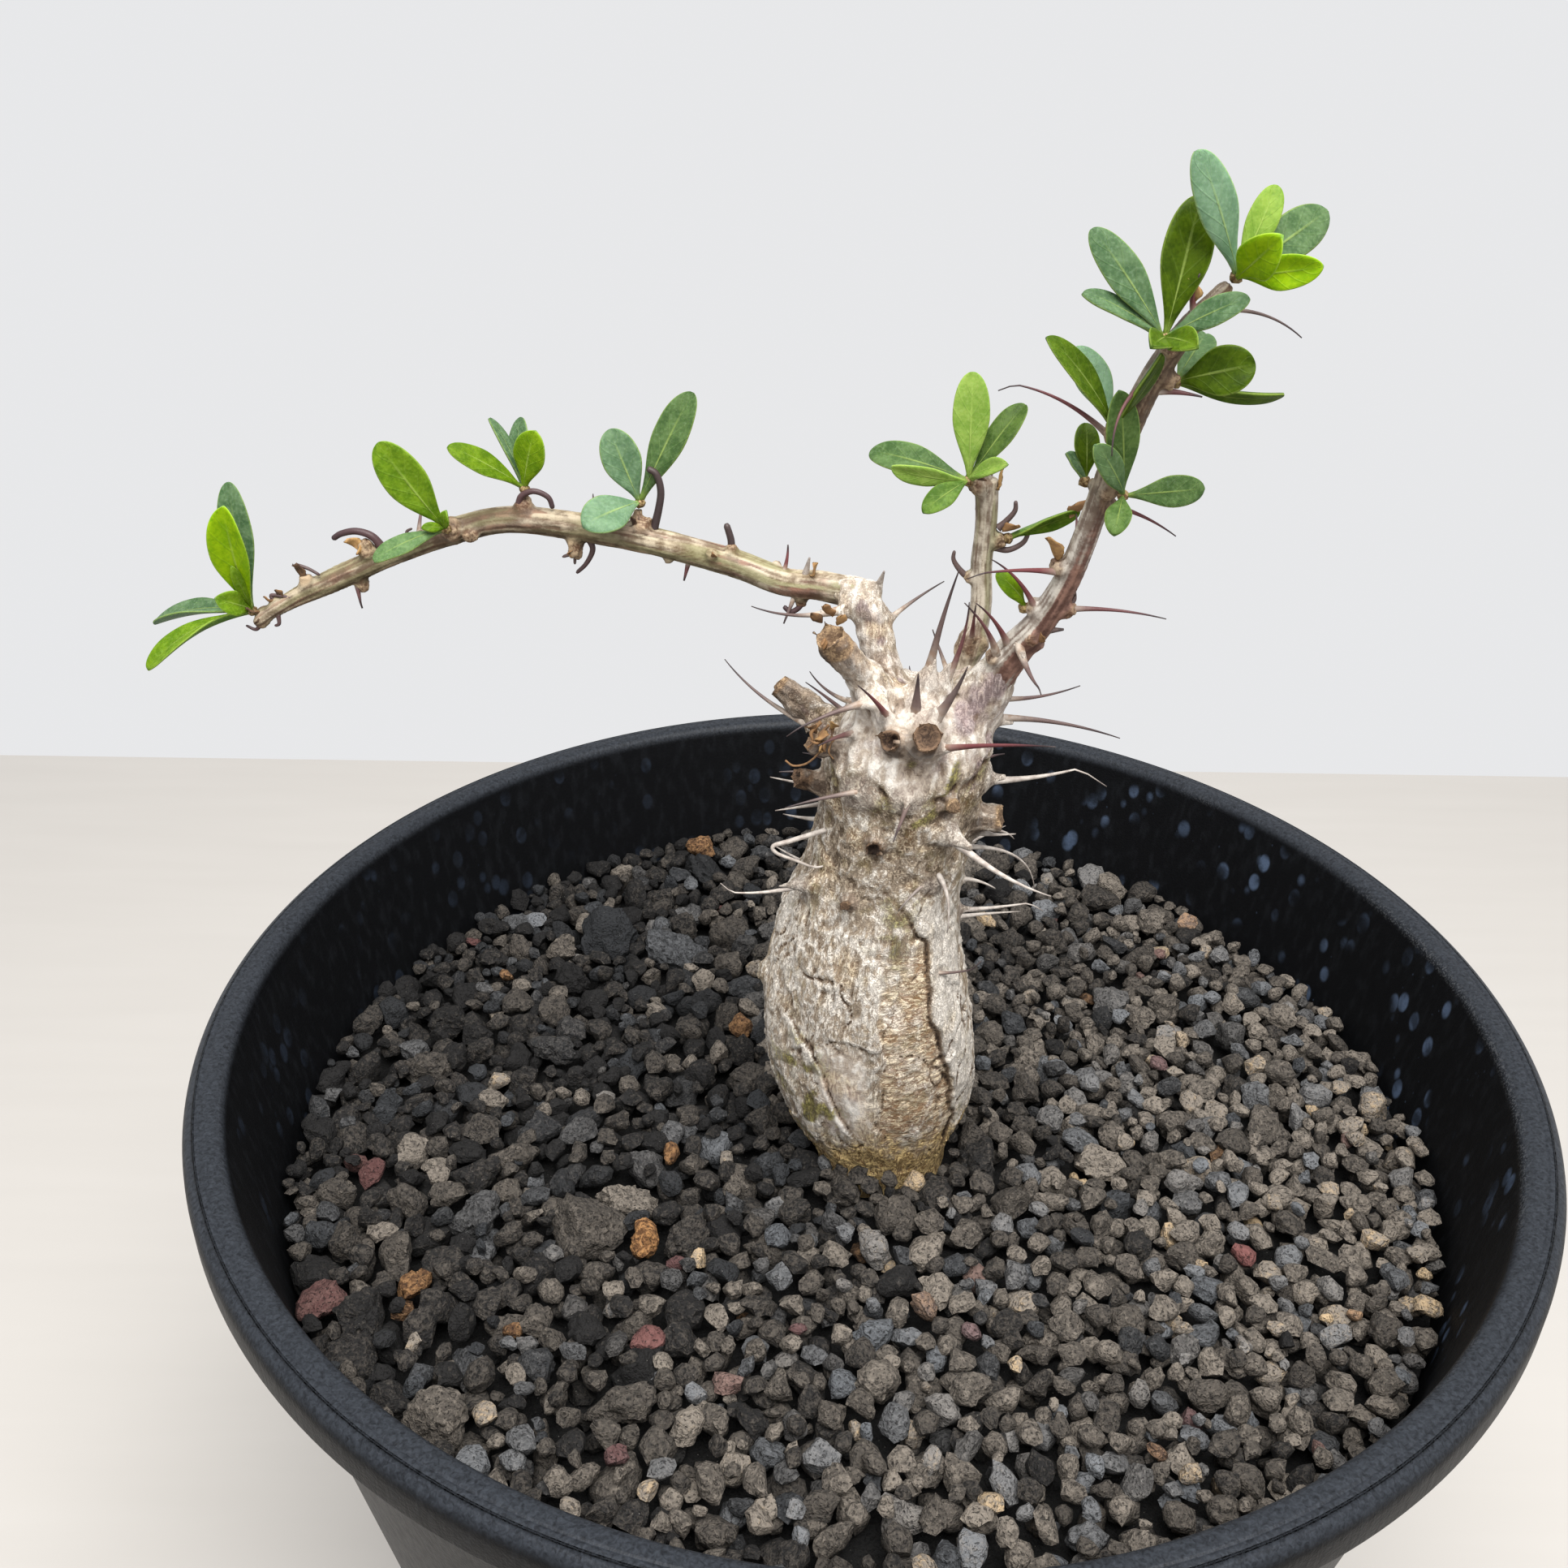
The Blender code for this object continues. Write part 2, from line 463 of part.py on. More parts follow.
def make_trunk(material, collection, cutters):
    solids = [trunk_mesh(0)]
    solids += [tube(smooth_path(limb, 3), 10) for limb in LIMBS.values()]
    solids += [frustum(a, b, r1, r2, 9) for a, b, r1, r2 in SNAGS]
    for height, bearing, reach, radius in TRUNK_SPINES:
        solids.append(spine(trunk_surface(height, math.radians(bearing), TRUNK_INSET), reach, radius))
    for k in range(BACK_SPINES):
        share, turn = (k + 0.5) / BACK_SPINES, (k * 0.618) % 1
        bearing = math.radians(BACK_BEARINGS[0] + (BACK_BEARINGS[1] - BACK_BEARINGS[0]) * turn)
        height = BACK_HEIGHTS[0] + (BACK_HEIGHTS[1] - BACK_HEIGHTS[0]) * share
        reach = BACK_REACH[0] + (BACK_REACH[1] - BACK_REACH[0]) * turn
        tip = Vector((math.cos(bearing), math.sin(bearing), 0.25 * math.sin(5 * k))) * reach
        solids.append(spine(trunk_surface(height, bearing, TRUNK_INSET), tip, 0.7))
    solids += [spine(root, reach, radius) for root, reach, radius in LIMB_SPINES]
    sockets = [make_cutter(f"socket_{name}", branch_root(points, GAP), cutters)
               for name, points in BRANCHES.items()]
    return fuse("trunk", solids, material, collection, sockets)


def shoot_place(shoot):
    """Where a short shoot starts on its branch's axis, the way it stands, and where its bud sits."""
    branch, at, lean, length, _ = shoot
    axis, radius = point_at(BRANCHES[branch], at)
    lean = Vector(lean).normalized()
    end = axis + lean * (radius + length)
    return axis, lean, end, end + lean * (GAP + BUD_RADIUS)


def make_branch(name, material, collection):
    points = BRANCHES[name]
    solids = [tube(smooth_path(points, BRANCH_STEPS), BRANCH_SIDES)]
    for shoot in SHOOTS.values():
        if shoot[0] == name:
            axis, _, end, _ = shoot_place(shoot)
            solids.append(frustum(axis, end, SHOOT_RADIUS * 2, SHOOT_RADIUS, 6))
    for at, reach, radius in BRANCH_SPINES[name]:
        axis, thickness = point_at(points, at)
        root = axis + Vector(reach).normalized() * thickness * 0.3
        solids.append(spine(root, reach, radius))
    return fuse(f"branch_{name}", solids, material, collection)


def leaf_outline(v):
    """Half width of a blade at v of its length, in half widths: a narrow foot that widens to a
    broad shoulder at two thirds, then a rounded end."""
    body = math.sin(math.pi * (0.04 + 0.90 * v) ** 1.35) ** 1.15
    return PETIOLE_SHARE + (1 - PETIOLE_SHARE) * body


def leaf_blade(foot, reach, width, turn):
    """A blade folded up along its midrib, its tip bent back, with a rounded end, in mm."""
    reach = Vector(reach)
    length = reach.length
    along = reach.normalized()
    face = Vector((0, -1, 0.45))
    face = (face - along * face.dot(along)).normalized()
    face = Matrix.Rotation(math.radians(turn), 3, along) @ face
    side = along.cross(face)
    bm = bmesh.new()
    bmesh.ops.create_grid(bm, x_segments=4 if width >= BROAD_LEAF else 2, y_segments=LEAF_CELLS, size=1)
    for vert in bm.verts:
        u, v = vert.co.x, (vert.co.y + 1) / 2
        half = width / 2 * leaf_outline(v)
        sit = length * (v - 0.10 * v**5 * u * u)
        lift = LEAF_FOLD * half * abs(u) - LEAF_CURL * length * (v * v - v)
        vert.co = (Vector(foot) + along * sit + side * (u * half) + face * lift) * MM
    bmesh.ops.triangulate(bm, faces=bm.faces)
    bmesh.ops.solidify(bm, geom=bm.faces, thickness=LEAF_THICKNESS * MM)
    bmesh.ops.recalc_face_normals(bm, faces=bm.faces)
    return mesh_from("leaf", bm)


def make_tuft(name, material, collection):
    """The leaves of one short shoot, grown together at its bud."""
    shoot = SHOOTS[name]
    _, _, _, bud = shoot_place(shoot)
    bm = bmesh.new()
    place = Matrix.Translation(bud * MM)
    bmesh.ops.create_icosphere(bm, subdivisions=1, radius=BUD_RADIUS * MM, matrix=place)
    solids = [mesh_from("bud", bm)]
    solids += [leaf_blade(bud, reach, width, turn) for reach, width, turn in shoot[4]]
    return fuse(f"leaves_{name}", solids, material, collection)


def make_soil(material, collection, cutters):
    """The bed of grit, with grains laid over it in a sunflower's pattern and a hole for the root."""
    low, high = FLOOR_THICKNESS + GAP, SOIL_Z - BED_DROP
    narrow, wide = wall_radius(low, True) - FLOOR_CLEAR, wall_radius(high, True) - 2 * GAP
    bed = frustum((0, 0, low), (0, 0, high), narrow, wide, 48)
    draw = random.Random(GRAIN_SEED)
    solids = [bed]
    for i in range(GRAINS):
        side = GRAIN_SIZES[0] + (GRAIN_SIZES[1] - GRAIN_SIZES[0]) * draw.random() ** 1.5
        limit = wall_radius(high - side, True) - 2 * GAP - side * math.sqrt(3) / 2
        ring, turn = limit * math.sqrt((i + 0.5) / GRAINS), i * math.pi * (3 - math.sqrt(5))
        at = Vector((ring * math.cos(turn), ring * math.sin(turn), high + draw.uniform(*GRAIN_RISE)))
        if (at.xy - Vector(TRUNK[4][2:])).length < ROOT_CLEAR:
            continue
        pose = Matrix.Translation(at * MM) @ Matrix.Rotation(draw.random() * math.tau, 4, "Z")
        pose = pose @ Matrix.Rotation(draw.random() * math.pi, 4, (1, 1, 0))
        bm = bmesh.new()
        bmesh.ops.create_cube(bm, size=side * MM, matrix=pose)
        for vert in bm.verts:
            vert.co = vert.co.lerp(at * MM, GRAIN_WEAR * draw.random())
        bmesh.ops.triangulate(bm, faces=bm.faces)
        solids.append(mesh_from("grain", bm))
    hole = make_cutter("root_hole", trunk_mesh(GAP), cutters)
    return fuse("soil", solids, material, collection, [hole], "MANIFOLD")


def main():
    clear_scene()
    tree = make_collection("Potted boojum tree")
    cutters = make_collection("Cutters")
    materials = {name: make_material(name) for name in COLOURS}
    make_pot(materials["black plastic"], tree, cutters)
    make_soil(materials["lava grit"], tree, cutters)
    make_trunk(materials["grey bark"], tree, cutters)
    for name in BRANCHES:
        make_branch(name, materials["tan twig"], tree)
    for name in SHOOTS:
        make_tuft(name, materials["leaf"], tree)


main()
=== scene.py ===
# %% [markdown]
# # A potted bottle tree, dressed for its picture
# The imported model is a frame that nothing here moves. It has the pot, the bed of grit, the swollen trunk,
# three branches and thirteen tufts of leaves, all at their real size. This notebook gives each of them the
# surface that the real plant has: bark that peels, grit that is a heap of separate stones, leaves with a
# pale edge. Lengths are written in millimetres, and a mesh is scaled to metres when it is made.

# %% Load the frame
import itertools
import math

import bmesh
import bpy
import numpy as np
from mathutils import Matrix, Vector


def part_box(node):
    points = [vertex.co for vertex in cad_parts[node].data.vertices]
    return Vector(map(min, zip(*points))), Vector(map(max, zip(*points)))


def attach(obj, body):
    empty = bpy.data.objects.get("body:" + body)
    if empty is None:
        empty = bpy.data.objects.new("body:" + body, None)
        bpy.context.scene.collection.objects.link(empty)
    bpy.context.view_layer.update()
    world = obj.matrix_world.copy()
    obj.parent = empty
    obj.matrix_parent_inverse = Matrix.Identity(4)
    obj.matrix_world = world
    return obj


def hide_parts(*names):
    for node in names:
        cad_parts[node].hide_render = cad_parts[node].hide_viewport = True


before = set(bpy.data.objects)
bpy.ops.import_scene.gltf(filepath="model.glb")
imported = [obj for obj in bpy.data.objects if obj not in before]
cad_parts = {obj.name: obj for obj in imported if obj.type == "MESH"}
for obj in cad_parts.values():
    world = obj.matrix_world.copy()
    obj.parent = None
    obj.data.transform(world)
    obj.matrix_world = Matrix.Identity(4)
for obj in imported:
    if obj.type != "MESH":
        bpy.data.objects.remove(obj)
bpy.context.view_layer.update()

MM = 0.001
TAU = math.tau
pot_high = np.array(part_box("pot")[1]) / MM
RIM_RADIUS = pot_high[1]
POT_HEIGHT = pot_high[2]


def add_object(name, data):
    """A new object in the scene that holds this data."""
    added = bpy.data.objects.new(name, data)
    bpy.context.scene.collection.objects.link(added)
    return added


print(f"frame: {len(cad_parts)} nodes, rim {2 * RIM_RADIUS:.1f} mm across, {POT_HEIGHT:.1f} mm high")

# %% [markdown]
# ## The camera
# The picture was taken from close by, looking down into the pot. Three circles at known depths (the rim's
# outer edge, its inner edge and the edge of the grit) fix where a camera has to stand for them to look
# as they do, so its place is worked out once from them and written here as plain sizes and angles.

# %% Place the camera
CAMERA_AT = (0.0, -137.4, 222.7)
LOOKS_DOWN = math.radians(28.81)
TURNS_LEFT = math.radians(4.0)
ROLL = 0.014
LENS = 33.3
SENSOR = 36.0

lens = bpy.data.cameras.new("camera")
lens.lens = LENS
lens.sensor_width = SENSOR
lens.clip_start = 10 * MM
camera = add_object("camera", lens)
aim = Matrix.Rotation(TURNS_LEFT, 4, "Z") @ Matrix.Rotation(math.pi / 2 - LOOKS_DOWN, 4, "X")
camera.matrix_world = Matrix.Translation(Vector(CAMERA_AT) * MM) @ aim @ Matrix.Rotation(ROLL, 4, "Z")
bpy.context.scene.camera = camera
print(f"camera: {LENS} mm lens, {CAMERA_AT[2] - POT_HEIGHT:.0f} mm over the rim")

# %% [markdown]
# ## Surfaces as arrays
# Every new piece is a surface worked out with numpy: whole arrays of points, and faces that say which
# points belong together. A small class holds both, with a number or two for each point, called tags here,
# which a material can read later. Tags are the cheapest way to tell a material where it is: how far along
# a spine, how deep in a crease, which stone of three thousand.

# %% Hold a surface and turn it into a mesh
class Surface:
    """Points in millimetres, faces of four or three points, and tags: one number for each point."""

    def __init__(self, points, quads=(), tris=(), **tags):
        self.points = np.asarray(points, float).reshape(-1, 3)
        self.quads = np.asarray(quads, int).reshape(-1, 4)
        self.tris = np.asarray(tris, int).reshape(-1, 3)
        self.tags = {name: np.zeros(len(self.points)) + value for name, value in tags.items()}


def join(surfaces):
    """One surface out of several: each one's faces count on from the points before it."""
    starts = np.cumsum([0] + [len(s.points) for s in surfaces])
    names = {name for s in surfaces for name in s.tags}
    tags = {name: np.concatenate([s.tags.get(name, np.zeros(len(s.points))) for s in surfaces])
            for name in sorted(names)}
    quads = np.vstack([s.quads + start for s, start in zip(surfaces, starts)])
    tris = np.vstack([s.tris + start for s, start in zip(surfaces, starts)])
    return Surface(np.vstack([s.points for s in surfaces]), quads, tris, **tags)


def make_mesh(name, surface):
    """A Blender mesh from a surface, filled as whole arrays."""
    mesh = bpy.data.meshes.new(name)
    corners = np.concatenate([surface.quads.ravel(), surface.tris.ravel()])
    sizes = np.repeat((4, 3), (len(surface.quads), len(surface.tris)))
    mesh.vertices.add(len(surface.points))
    mesh.vertices.foreach_set("co", (surface.points * MM).ravel())
    mesh.loops.add(len(corners))
    mesh.loops.foreach_set("vertex_index", corners)
    mesh.polygons.add(len(sizes))
    mesh.polygons.foreach_set("loop_start", np.cumsum(sizes) - sizes)
    mesh.update(calc_edges=True)
    for tag, values in surface.tags.items():
        mesh.attributes.new(tag, "FLOAT", "POINT").data.foreach_set("value", values)
    mesh.shade_smooth()
    return mesh


def make_piece(name, surface, finish, slot, *stands_for, sharp=None):
    """A piece of the object that rides on its only body, takes a finish and may stand for CAD nodes."""
    mesh = make_mesh(name, surface)
    mesh.materials.append(finish)
    if sharp:
        mesh.set_sharp_from_angle(angle=math.radians(sharp))
    piece = add_object(name, mesh)
    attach(piece, "root")
    if stands_for:
        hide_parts(*stands_for)
    print(f"{name}: {2 * len(surface.quads) + len(surface.tris)} triangles")
    return piece


# %% [markdown]
# A tube is a ring carried along a path. So is a spine, whose ring shrinks to a point, a leaf, whose ring is
# a flat lens, and a turned pot, whose path is a circle. One function therefore makes the faces for all of
# them: rings of points, each joined to the next, with a single point at each end.

# %% Join rings of points into a closed skin
def ring_faces(rings, sides):
    """Quads between neighbouring rings, and fans to one point before the first and one after the last."""
    start = np.arange(rings - 1)[:, None] * sides + 1
    k = np.arange(sides)
    after = (k + 1) % sides
    quads = np.stack([start + k, start + after, start + sides + after, start + sides + k], -1)
    last = (rings - 1) * sides + 1
    low = np.stack([np.zeros(sides, int), after + 1, k + 1], -1)
    high = np.stack([np.full(sides, last + sides), last + k, last + after], -1)
    return quads.reshape(-1, 4), np.vstack([low, high])


def skin(first, rings, last, **tags):
    """A closed surface from its first point, an array of rings (ring, point, xyz) and its last point."""
    count, sides = rings.shape[:2]
    full = {name: np.concatenate([[value[0, 0]], value.ravel(), [value[-1, -1]]])
            for name, value in ((n, np.broadcast_to(v, (count, sides))) for n, v in tags.items())}
    return Surface(np.vstack([first, rings.reshape(-1, 3), last]), *ring_faces(count, sides), **full)


def smooth_path(rows, steps):
    """A Catmull-Rom curve: between two rows, a cubic that leaves each of them towards its neighbours."""
    rows = np.asarray(rows, float)
    rows = np.vstack([2 * rows[0] - rows[1], rows, 2 * rows[-1] - rows[-2]])
    a, b, c, d = (rows[k:len(rows) - 3 + k, None] for k in range(4))
    t = np.linspace(0, 1, steps, endpoint=False)[None, :, None]
    curve = 0.5 * (2 * b + (c - a) * t + (2 * a - 5 * b + 4 * c - d) * t**2 + (3 * b - a - 3 * c + d) * t**3)
    return np.vstack([curve.reshape(-1, rows.shape[1]), rows[-2]])


def unit(vectors):
    """The same directions with a length of one."""
    return vectors / np.linalg.norm(vectors, axis=-1, keepdims=True)


def square_to(path, ahead=None):
    """The way that a path runs, and two directions square to it. They turn as little as they can,
    because both are measured from the direction that the path keeps away from most."""
    ahead = unit(np.gradient(path, axis=0)) if ahead is None else np.broadcast_to(ahead, path.shape)
    aside = np.linalg.svd(ahead - 1e-6, full_matrices=False)[2][-1]
    side = unit(np.cross(ahead, aside))
    return ahead, side, np.cross(ahead, side)


def tube(path, radius, sides=12, ahead=None, **tags):
    """Rings round a path. A ring's point at angle a is the path's point plus the radius there times
    (cos a) sideways and (sin a) upwards. The radius is one number, one a ring, or one a point."""
    path = np.asarray(path, float)
    _, side, up = square_to(path, ahead)
    angle = np.arange(sides) * TAU / sides
    round_about = np.cos(angle)[:, None] * side[:, None] + np.sin(angle)[:, None] * up[:, None]
    radius = np.asarray(radius, float)
    radius = radius[:, None] if radius.ndim == 1 else radius
    rings = path[:, None] + np.broadcast_to(radius, (len(path), sides))[..., None] * round_about
    return skin(path[0], rings, path[-1], **tags)


print("surfaces: rings, paths and tubes are ready")

# %% [markdown]
# ## Noise
# Nothing on a plant is even. Noise gives unevenness that is the same on each run: a number is worked out
# from the place alone, by mixing the bits of the whole numbers round it, and is then blended smoothly
# between them. Adding finer and weaker copies gives a rough surface.

# %% Make noise from places
def number_at(cells, seed):
    """A repeatable number from 0 to 1 for each whole-number place."""
    mixed = cells[..., 0] * 374761393 + cells[..., 1] * 668265263 + cells[..., 2] * 2147483647
    mixed = (mixed + seed * 974634777) & 0xFFFFFFFF
    mixed = ((mixed ^ (mixed >> 13)) * 1274126177) & 0xFFFFFFFF
    mixed = ((mixed ^ (mixed >> 16)) * 2246822519) & 0xFFFFFFFF
    return ((mixed ^ (mixed >> 15)) & 0xFFFFFF) / 0xFFFFFF


def noise(places, seed=0):
    """Smooth noise from -1 to 1: the numbers at the corners of a place's cell, each weighted by
    t*t*(3 - 2*t) along every axis."""
    low = np.floor(places).astype(np.int64)
    t = places - low
    t = t * t * (3 - 2 * t)
    total = 0
    for corner in itertools.product((0, 1), repeat=3):
        total = total + np.prod(np.where(corner, t, 1 - t), axis=-1) * number_at(low + corner, seed)
    return 2 * total - 1


def rough(places, octaves, seed=0):
    """Layers of noise, each twice as fine and half as strong as the last."""
    return sum(noise(places * 2**k + 17.3 * k, seed + k) / 2**k for k in range(octaves))


def ramp(value, low, high):
    """0 up to low, 1 from high, and a smooth step between. low may be the larger of the two."""
    t = np.clip((value - low) / (high - low), 0, 1)
    return t * t * (3 - 2 * t)


print("noise at two places:", noise(np.array([[0.5, 0.2, 0.1], [3.3, 1.0, 8.0]])).round(2))

# %% [markdown]
# ## Finishes
# A material is a network of nodes. Written out one by one, such a network hides its idea, so two small
# classes let it read as sums. `Socket` wraps the output of a node: adding or multiplying two of them adds
# the Math node that does it. `Finish` is a material whose other nodes all come from one method. Values
# that are the same all over go straight onto the shader's own sockets.

# %% Write materials as expressions
class Socket:
    """A node's output that Python's own operators work on."""

    def __init__(self, finish, link):
        self.finish = finish
        self.link = link

    def maths(self, operation, *values):
        return self.finish.node("ShaderNodeMath", {"operation": operation}, dict(enumerate(values)))

    def __add__(self, other):
        return self.maths("ADD", self, other)

    def __sub__(self, other):
        return self.maths("SUBTRACT", self, other)

    def __rsub__(self, other):
        return self.maths("SUBTRACT", other, self)

    def __mul__(self, other):
        return self.maths("MULTIPLY", self, other)

    def most(self, other):
        return self.maths("MAXIMUM", self, other)

    def step(self, low, high):
        """0 at low, 1 at high and a smooth step between."""
        return self.finish.node("ShaderNodeMapRange", {"interpolation_type": "SMOOTHSTEP"},
                                {"Value": self, "From Min": low, "From Max": high})

    def near(self, middle, width):
        """1 at the middle value and 0 from the width on either side of it: it draws noise as lines."""
        return (self - middle).maths("ABSOLUTE", self - middle).step(width, 0.0)

    def to(self, other, share):
        """This colour, turned into another one by a share."""
        return self.finish.mix(self, other, share)


class Finish:
    """A material with one Principled shader. Its uniform values are given by their socket's name."""

    def __init__(self, name, **even):
        self.material = bpy.data.materials.new(name)
        self.material.use_nodes = True
        self.tree = self.material.node_tree
        self.shader = self.tree.nodes["Principled BSDF"]
        for socket, value in even.items():
            self.shader.inputs[socket.replace("_", " ")].default_value = value
        self.place = self.node("ShaderNodeTexCoord", {}, {}, "Object")

    def node(self, kind, settings, values, output=0):
        """A new node: its settings first, then the values or links of its sockets."""
        made = self.tree.nodes.new(kind)
        for name, value in settings.items():
            setattr(made, name, value)
        for name, value in values.items():
            if isinstance(value, Socket):
                self.tree.links.new(value.link, made.inputs[name])
            else:
                made.inputs[name].default_value = value
        return Socket(self, made.outputs[output])

    def tag(self, name):
        """A number that the mesh carries at each point."""
        return self.node("ShaderNodeAttribute", {"attribute_name": name}, {}, "Fac")

    def coordinate(self, axis):
        """The object coordinate along one axis, in metres."""
        return self.node("ShaderNodeSeparateXYZ", {}, {"Vector": self.place}, axis)

    def stretched(self, sizes, shift):
        """Object coordinates in which one unit is the given size in millimetres along each axis."""
        scale = np.broadcast_to(1 / (np.array(sizes) * MM), 3)
        return self.node("ShaderNodeMapping", {"vector_type": "POINT"}, {
            "Vector": self.place, "Scale": scale, "Location": shift})

    def noise(self, sizes, detail=3, shift=(0, 0, 0), distortion=0.0):
        """Blender's noise with features of about this size in millimetres, or of a size for each axis."""
        return self.node("ShaderNodeTexNoise", {}, {
            "Vector": self.stretched(sizes, shift), "Scale": 1.0, "Detail": detail,
            "Distortion": distortion}, "Fac")

    def cells(self, sizes, shift=(0, 0, 0)):
        """Blender's cell noise: the distance to scattered points this many millimetres apart."""
        return self.node("ShaderNodeTexVoronoi", {}, {
            "Vector": self.stretched(sizes, shift), "Scale": 1.0}, "Distance")

    def mix(self, low, high, factor):
        """A colour between two colours."""
        return self.node("ShaderNodeMix", {"data_type": "RGBA", "clamp_factor": True}, {
            0: factor, 6: colour(low), 7: colour(high)}, 2)

    def bump(self, height, depth):
        """A normal from a height that stands for this many millimetres at one."""
        return self.node("ShaderNodeBump", {}, {"Height": height, "Strength": 1.0, "Distance": depth * MM})

    def into(self, **sockets):
        """Links what changes over the surface to the shader's sockets."""
        for name, value in sockets.items():
            self.tree.links.new(value.link, self.shader.inputs[name.replace("_", " ")])
        return self.material


def colour(value):
    """A colour of three numbers as Blender's four, and a socket as it is."""
    return value if isinstance(value, Socket) else (*value, 1.0)


print("finishes: sockets and nodes are ready")

# %% [markdown]
# ## The pot
# A nursery pot is moulded in black plastic: one thin wall that widens upwards, and a rim that is rolled
# over so that it's stiff. The CAD pot has the right section with 44 flat sides, which would show along the
# rim. A turned pot could be a Screw modifier on the same section; here the section's corners are rounded
# and it is carried round in numpy, which gives even faces where the light runs along the rim. The drainage
# holes and channels under it are then cut by a Boolean, as they are in the CAD pot.

# %% Turn the pot
RIM_WIDTH = 4.2
RIM_DEPTH = 4.8
RIM_TOP = 1.9
LIP = 1.3
WALL = 1.6
WALL_SLOPE = 0.17
FLOOR = 3.2
ROUND_STEPS = 6
POT_SIDES = 288
PARTING_LINE = (2.0, 0.1)  # how far the mould's parting line lies in from the rim's edge, and its depth
DRAIN_HOLES = 6
DRAIN_RADIUS = 4.0
DRAIN_CIRCLE = 34.0
CHANNEL = (30.0, 5.0, 1.2)


def wall_radius(z, thickness=0.0):
    """The wall's inner radius at a height, or its outer one where its thickness is given."""
    return RIM_RADIUS - RIM_WIDTH + thickness - WALL_SLOPE * (POT_HEIGHT - z)


def rounded(corners, steps):
    """An outline with each corner replaced by a curve: from one fillet's length before the corner to as
    far behind it, the weights (1-t)^2, 2t(1-t) and t^2 lead past it. Rows are radius, height, fillet."""
    corners = np.asarray(corners, float)
    points = corners[:, :2]
    before = unit(points[:-2] - points[1:-1]) * corners[1:-1, 2:]
    after = unit(points[2:] - points[1:-1]) * corners[1:-1, 2:]
    t = np.linspace(0, 1, steps)[:, None, None]
    bent = points[1:-1] + (1 - t)**2 * before + t**2 * after
    return np.vstack([points[:1], bent.transpose(1, 0, 2).reshape(-1, 2), points[-1:]])


def turned(section, sides):
    """A section of radius and height rows carried round the Z axis, from one pole to the other."""
    angle = np.arange(sides) * TAU / sides
    rows = section[1:-1]
    rings = np.stack([rows[:, :1] * np.cos(angle), rows[:, :1] * np.sin(angle),
                      np.repeat(rows[:, 1:], sides, 1)], -1)
    return skin((0, 0, section[0, 1]), rings, (0, 0, section[-1, 1]))


def pot_section():
    """The pot's section, from the middle of its underside up the outside, over the rim and in."""
    top, low, under = POT_HEIGHT, POT_HEIGHT - RIM_DEPTH, POT_HEIGHT - RIM_TOP
    inner = RIM_RADIUS - RIM_WIDTH
    line, depth = PARTING_LINE
    return rounded([
        (0, 0, 0), (wall_radius(0, WALL), 0, 0.9), (wall_radius(under, WALL), under, 0.3),
        (RIM_RADIUS - LIP, under, 0.3), (RIM_RADIUS - LIP, low, 0.35), (RIM_RADIUS, low, 0.5),
        (RIM_RADIUS, top - 0.5, 1.5), (RIM_RADIUS - 1.4, top, 0.25),
        (RIM_RADIUS - line + 0.2, top, 0.05), (RIM_RADIUS - line, top - depth, 0.05),
        (RIM_RADIUS - line - 0.2, top, 0.05), (inner + 0.2, top, 1.3), (wall_radius(top - 3), top - 3, 0.8),
        (wall_radius(FLOOR), FLOOR, 2.0), (0, FLOOR, 0)], ROUND_STEPS)


def cut(piece, tools):
    """Takes the tools' volumes out of the piece's mesh."""
    for tool in tools:
        hole = piece.modifiers.new("cut", "BOOLEAN")
        hole.operation = "DIFFERENCE"
        hole.object = tool
    bpy.context.view_layer.update()
    carved = bpy.data.meshes.new_from_object(piece.evaluated_get(bpy.context.evaluated_depsgraph_get()))
    piece.modifiers.clear()
    piece.data = carved
    for tool in tools:
        bpy.data.objects.remove(tool)


def drain_tools():
    """A round drill for each hole, and a bar lying out from it for its channel."""
    tools = []
    length, width, depth = CHANNEL
    for k in range(DRAIN_HOLES):
        turn = TAU * (k + 0.5) / DRAIN_HOLES
        out = np.array([math.cos(turn), math.sin(turn), 0])
        drill = tube(out * DRAIN_CIRCLE + np.outer([-1, FLOOR + 1], [0, 0, 1]), [DRAIN_RADIUS] * 2, 40)
        middle = out * (DRAIN_CIRCLE + length / 2)
        bar = tube(middle + np.outer([-length / 2, length / 2], out), [width / math.sqrt(2)] * 2, 4)
        bar.points[:, 2] = np.where(bar.points[:, 2] > 0, depth, -depth)
        tools += [add_object("tool", make_mesh("tool", shape)) for shape in (drill, bar)]
    return tools


# %% [markdown]
# The plastic is black, but it doesn't look black everywhere. The rim is satin, with a fine drag in its
# surface, and the sky's soft blue-grey reflection on it is painted into its colour as a band. Along its inner
# edge, pale specks stand for dust and a painted highlight. The wall inside is duller and carries dried
# splashes of
# hard water: pale ovals, in loose groups, stretched down the wall. Cell noise makes such ovals when only
# the places close to a scattered point count, and a second noise decides which groups there are.

# %% Finish the pot's plastic
PLASTIC = (0.0018, 0.002, 0.0026)
# painted reflection: the sky's blue-grey band on the rim
RIM_SKY_REFLECTION = (0.034, 0.039, 0.048)
SPLASH = (0.062, 0.088, 0.14)
# dust on the rim's inner edge, with a painted highlight there
RIM_EDGE_DUST_AND_HIGHLIGHT = (0.26, 0.27, 0.28)


